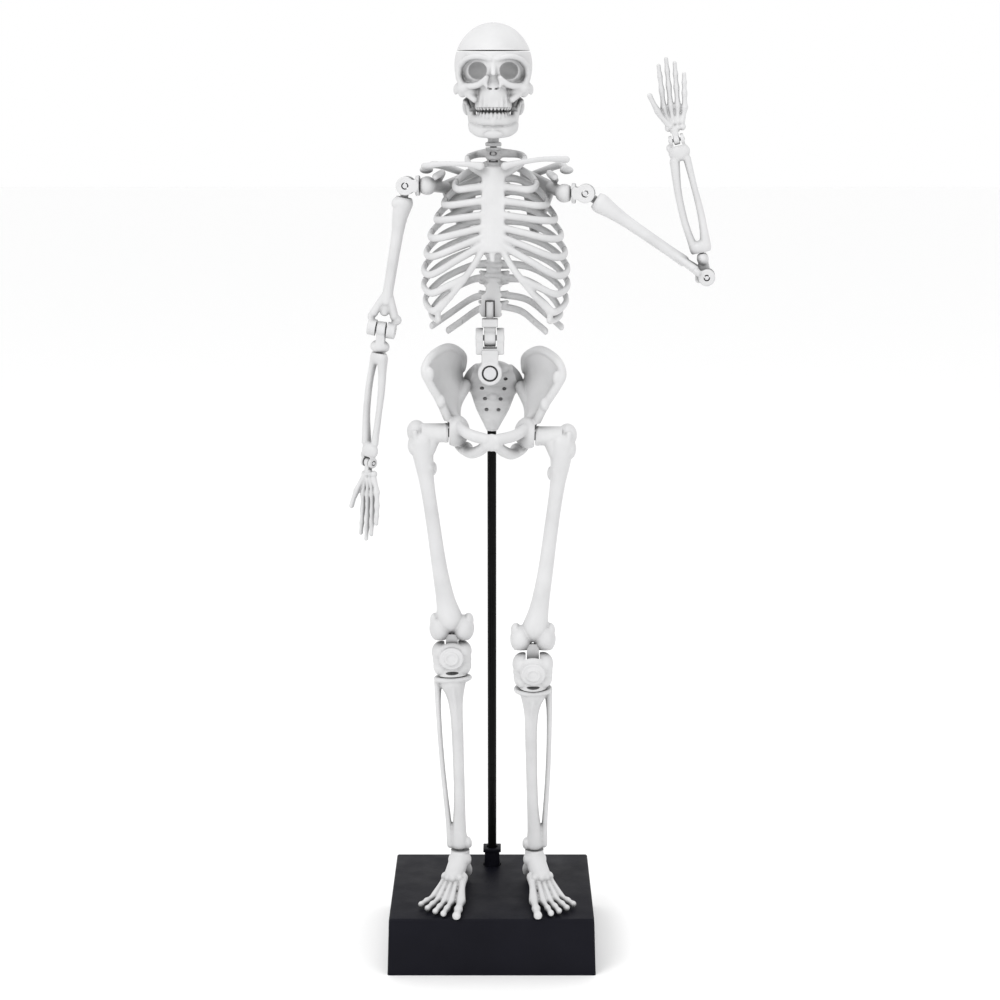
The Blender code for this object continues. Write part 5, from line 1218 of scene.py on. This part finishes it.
def build_shin(label):
    side = SIDES[label]
    body = f"knee_{label}"

    def block_shape(clay):
        ellipsoid(clay, (0, 0, 0), (5.1, 3.9, 4.3))
        for x in (-2.55, 2.55):
            ellipsoid(clay, (x, 0.1, 1.4), (2.6, 3.6, 2.85))
            ellipsoid(clay, (x * 0.9, 0.1, -2.2), (2.6, 3.5, 2.8))
        cylinder(clay, (0, 0, -1.5), (0, 0, -KNEE_SEAT - 1), 3.7)
        ellipsoid(clay, (0, -2.0, 2.1), (3.4, 1.9, 2.2))
        ellipsoid(clay, (0, -3.5, 0.3), (3.2, 1.5, 3.0))
        turns = np.linspace(0, 2 * math.pi, 33)
        for radius, y in ((2.7, -4.15), (1.5, -4.75)):
            ring = [(radius * math.cos(a), y, 0.3 + 0.93 * radius * math.sin(a)) for a in turns]
            strand(clay, ring, 0.36, 0.25)

    block = fused(block_shape, FINE, 3)
    block = cut(block, box, (-8, -8, -KNEE_SEAT - 6), (8, 8, -KNEE_SEAT))
    block = cut(block, box, (-1.8, -2.7, -2.7), (1.8, 8, 8))
    block = cut(block, box, (-1.8, -2.7, 1.0), (1.8, 8, 8))
    block = cut(block, ellipsoid, (0, -4.2, -3.6), (1.9, 2.0, 0.5), 3)
    block = cut(block, cylinder, (-8, 0, 0), (8, 0, 0), 1.0)
    peg = -KNEE_SEAT - 3.0
    block = join(block, cylinder, (0, 0, -KNEE_SEAT + 1.2), (0, 0, peg), 1.0)
    piece(f"knee_cap_block_{label}", block, body, f"knee_block_{label}")
    pin(f"knee_rivet_{label}", body, f"knee_pin_{label}", (-4.9, 0, 0), (4.9, 0, 0), 0.7)

    top = -KNEE_SEAT - FIT
    ankle = -SHANK

    def shank(clay):
        ellipsoid(clay, (0, 0, top - 0.6), (4.95, 3.65, 1.5))
        tibia = [
            (0, 0, top - 1.5, 2.1), (-0.3, -0.1, -9.0, 1.55), (-0.5, -0.2, -13.0, 1.12),
            (-0.6, -0.3, -20.0, 0.98), (-0.4, 0, -36.0, 0.93), (0, 0, -45.0, 1.12),
            (0, 0, ankle + 1.6, 1.35),
        ]
        limb(clay, side, tibia, 1.58, 0.6)
        shin_edge = [(-0.1, -2.6, -8.0, 1.0), (-0.5, -1.7, -14.0, 0.8), (-0.6, -1.5, -24.0, 0.6)]
        limb(clay, side, shin_edge, 0.6)
        fibula = [
            (3.9, 0.6, top - 1.6, 1.35), (4.1, 0.8, -14.0, 0.95), (3.7, 0.8, -28.0, 0.9),
            (2.8, 0.4, -42.0, 1.0), (2.3, 0.2, ankle + 1.4, 1.5),
        ]
        limb(clay, side, fibula, 0.75)
        ellipsoid(clay, (-side * 2.0, 0, ankle + 1.6), (1.1, 1.5, 1.7), 3)

    bone = fused(shank)
    bone = cut(bone, box, (-8, -8, top), (8, 8, 2))
    bone = cut(bone, cylinder, (0, 0, peg - FIT), (0, 0, 0), 1.3)
    bone = cut(bone, box, (-8, -8, ankle - 6), (8, 8, ankle + 0.6))
    ball = (0, 0, ankle + 1.7)
    bone = cut(bone, ellipsoid, ball, 1.8, 4)
    bone = cut(bone, cylinder, (0, 0, ankle - 2), ball, 2.1, end_radius=1.4)
    piece(f"shin_bones_{label}", bone, body, f"tibia_fibula_{label}")


# Each toe: sideways place at the root, knuckle and tip, and how far forward the last two lie.
TOES = [
    (-1.8, -3.4, -4.4, 14.4, 23.4),
    (-0.6, -1.2, -0.9, 15.4, 22.6),
    (0.4, 0.6, 1.4, 14.8, 21.6),
    (1.4, 2.4, 3.8, 13.8, 20.0),
    (2.2, 4.0, 6.0, 12.4, 17.8),
]


def build_foot(label):
    side = SIDES[label]
    sole = -ANKLE_HEIGHT

    def shape(clay):
        cylinder(clay, (0, 0, 0.3), (0, 0, -2.0), 2.4)
        ellipsoid(clay, (0, -0.6, -2.6), (3.0, 3.2, 2.5))
        heel = [(0, 1.2, -4.4, 1.0), (-0.2, 3.2, sole + 3.6, 0.95), (-0.2, 4.6, sole + 2.2, 1.0)]
        limb(clay, side, heel, (1.9, 1.9, 2.2))
        instep = [(0, -0.4, -2.0), (side * 0.2, -3.2, -3.8), (side * 0.4, -6.4, -5.4)]
        strand(clay, instep, 2.55)
        for x, y in ((-1.5, -7.4), (0.0, -8.0), (1.4, -7.6), (2.5, -6.6)):
            ellipsoid(clay, (side * x, y, -5.2), (1.0, 1.3, 1.2), 3)
        for number, (root, knuckle, tip, near, far) in enumerate(TOES):
            size = 1.3 if number == 0 else 0.98
            half_x, half_y = (root + knuckle) / 2, (5 + near) / 2
            metatarsal = [
                (root, -5.4, -5.6, 1.3), (half_x, -half_y, -6.6, 0.82),
                (knuckle, -near, sole + 1.0, 1.18),
            ]
            limb(clay, side, metatarsal, 0.84 * size, 0.3)
            for a, b in ((0.06, 0.52), (0.56, 1.0)):
                toe = []
                for t, k in ((a, 1.05), ((a + b) / 2, 0.8), (b, 0.98)):
                    x = knuckle + (tip - knuckle) * t
                    y = near + (far - near) * t
                    toe.append((x, -y, sole + 1.0 - 0.25 * t, k))
                limb(clay, side, toe, 0.84 * size, 0.3)

    foot = fused(shape, FINE, 2)
    foot = cut(foot, box, (-12, -30, sole - 5), (12, 12, sole))
    foot = cut(foot, box, (-6, -6, 0.0), (6, 6, 5))
    ball = (0, 0, 1.7)
    foot = join(foot, cylinder, (0, 0, -1.2), ball, 0.85)
    foot = join(foot, ellipsoid, ball, 1.38)
    body = f"foot_{label}"
    piece(f"foot_bones_{label}", foot, body, body)


# ---- stage
def set_stage():
    floor_mesh = bpy.data.meshes.new("floor")
    reach = 4.0
    corners = [(-reach, -reach, 0), (reach, -reach, 0), (reach, reach, 0), (-reach, reach, 0)]
    floor_mesh.from_pydata(corners, [], [(0, 1, 2, 3)])
    white = bpy.data.materials.new("floor_white")
    white.use_nodes = True
    look = {"Base Color": (0.98, 0.98, 0.98, 1.0), "Roughness": 0.6}
    fill(white.node_tree.nodes["Principled BSDF"], look)
    floor_mesh.materials.append(white)
    linked("floor", floor_mesh)

    world = bpy.data.worlds.new("studio")
    bpy.context.scene.world = world
    world.use_nodes = True
    fill(world.node_tree.nodes["Background"], {"Color": (1.0, 1.0, 1.0, 1.0), "Strength": 1.0})

    lamps = [
        ("key", (-0.35, -0.45, 0.62), 0.35, 1.5), ("fill", (0.6, -0.75, 0.40), 0.6, 0.9),
        ("top", (0.0, -0.1, 0.75), 0.5, 0.7),
    ]
    aim = Vector((0, 0, 0.13))
    for name, at, size, power in lamps:
        lamp = bpy.data.lights.new(name, "AREA")
        lamp.shape = "DISK"
        lamp.size = size
        lamp.energy = power
        item = linked(name, lamp)
        item.location = at
        item.rotation_euler = (aim - Vector(at)).to_track_quat("-Z", "Y").to_euler()

    camera = bpy.data.cameras.new("camera")
    camera.lens = 78.0
    camera.sensor_width = 36.0
    camera.clip_start = 0.01
    item = linked("camera", camera)
    item.location = (0.0021, -0.5336, 0.2204)
    item.rotation_euler = (math.radians(79.0), 0, 0)
    bpy.context.scene.camera = item
    bpy.context.scene.view_settings.view_transform = "Standard"


build_stand()
build_pelvis()
build_waist()
build_rib_cage()
build_skull()
for side_name in SIDES:
    build_girdle(side_name)
    build_shoulder(side_name)
    build_upper_arm(side_name)
    build_forearm(side_name)
    build_hand(side_name)
    build_thigh(side_name)
    build_shin(side_name)
    build_foot(side_name)
set_stage()
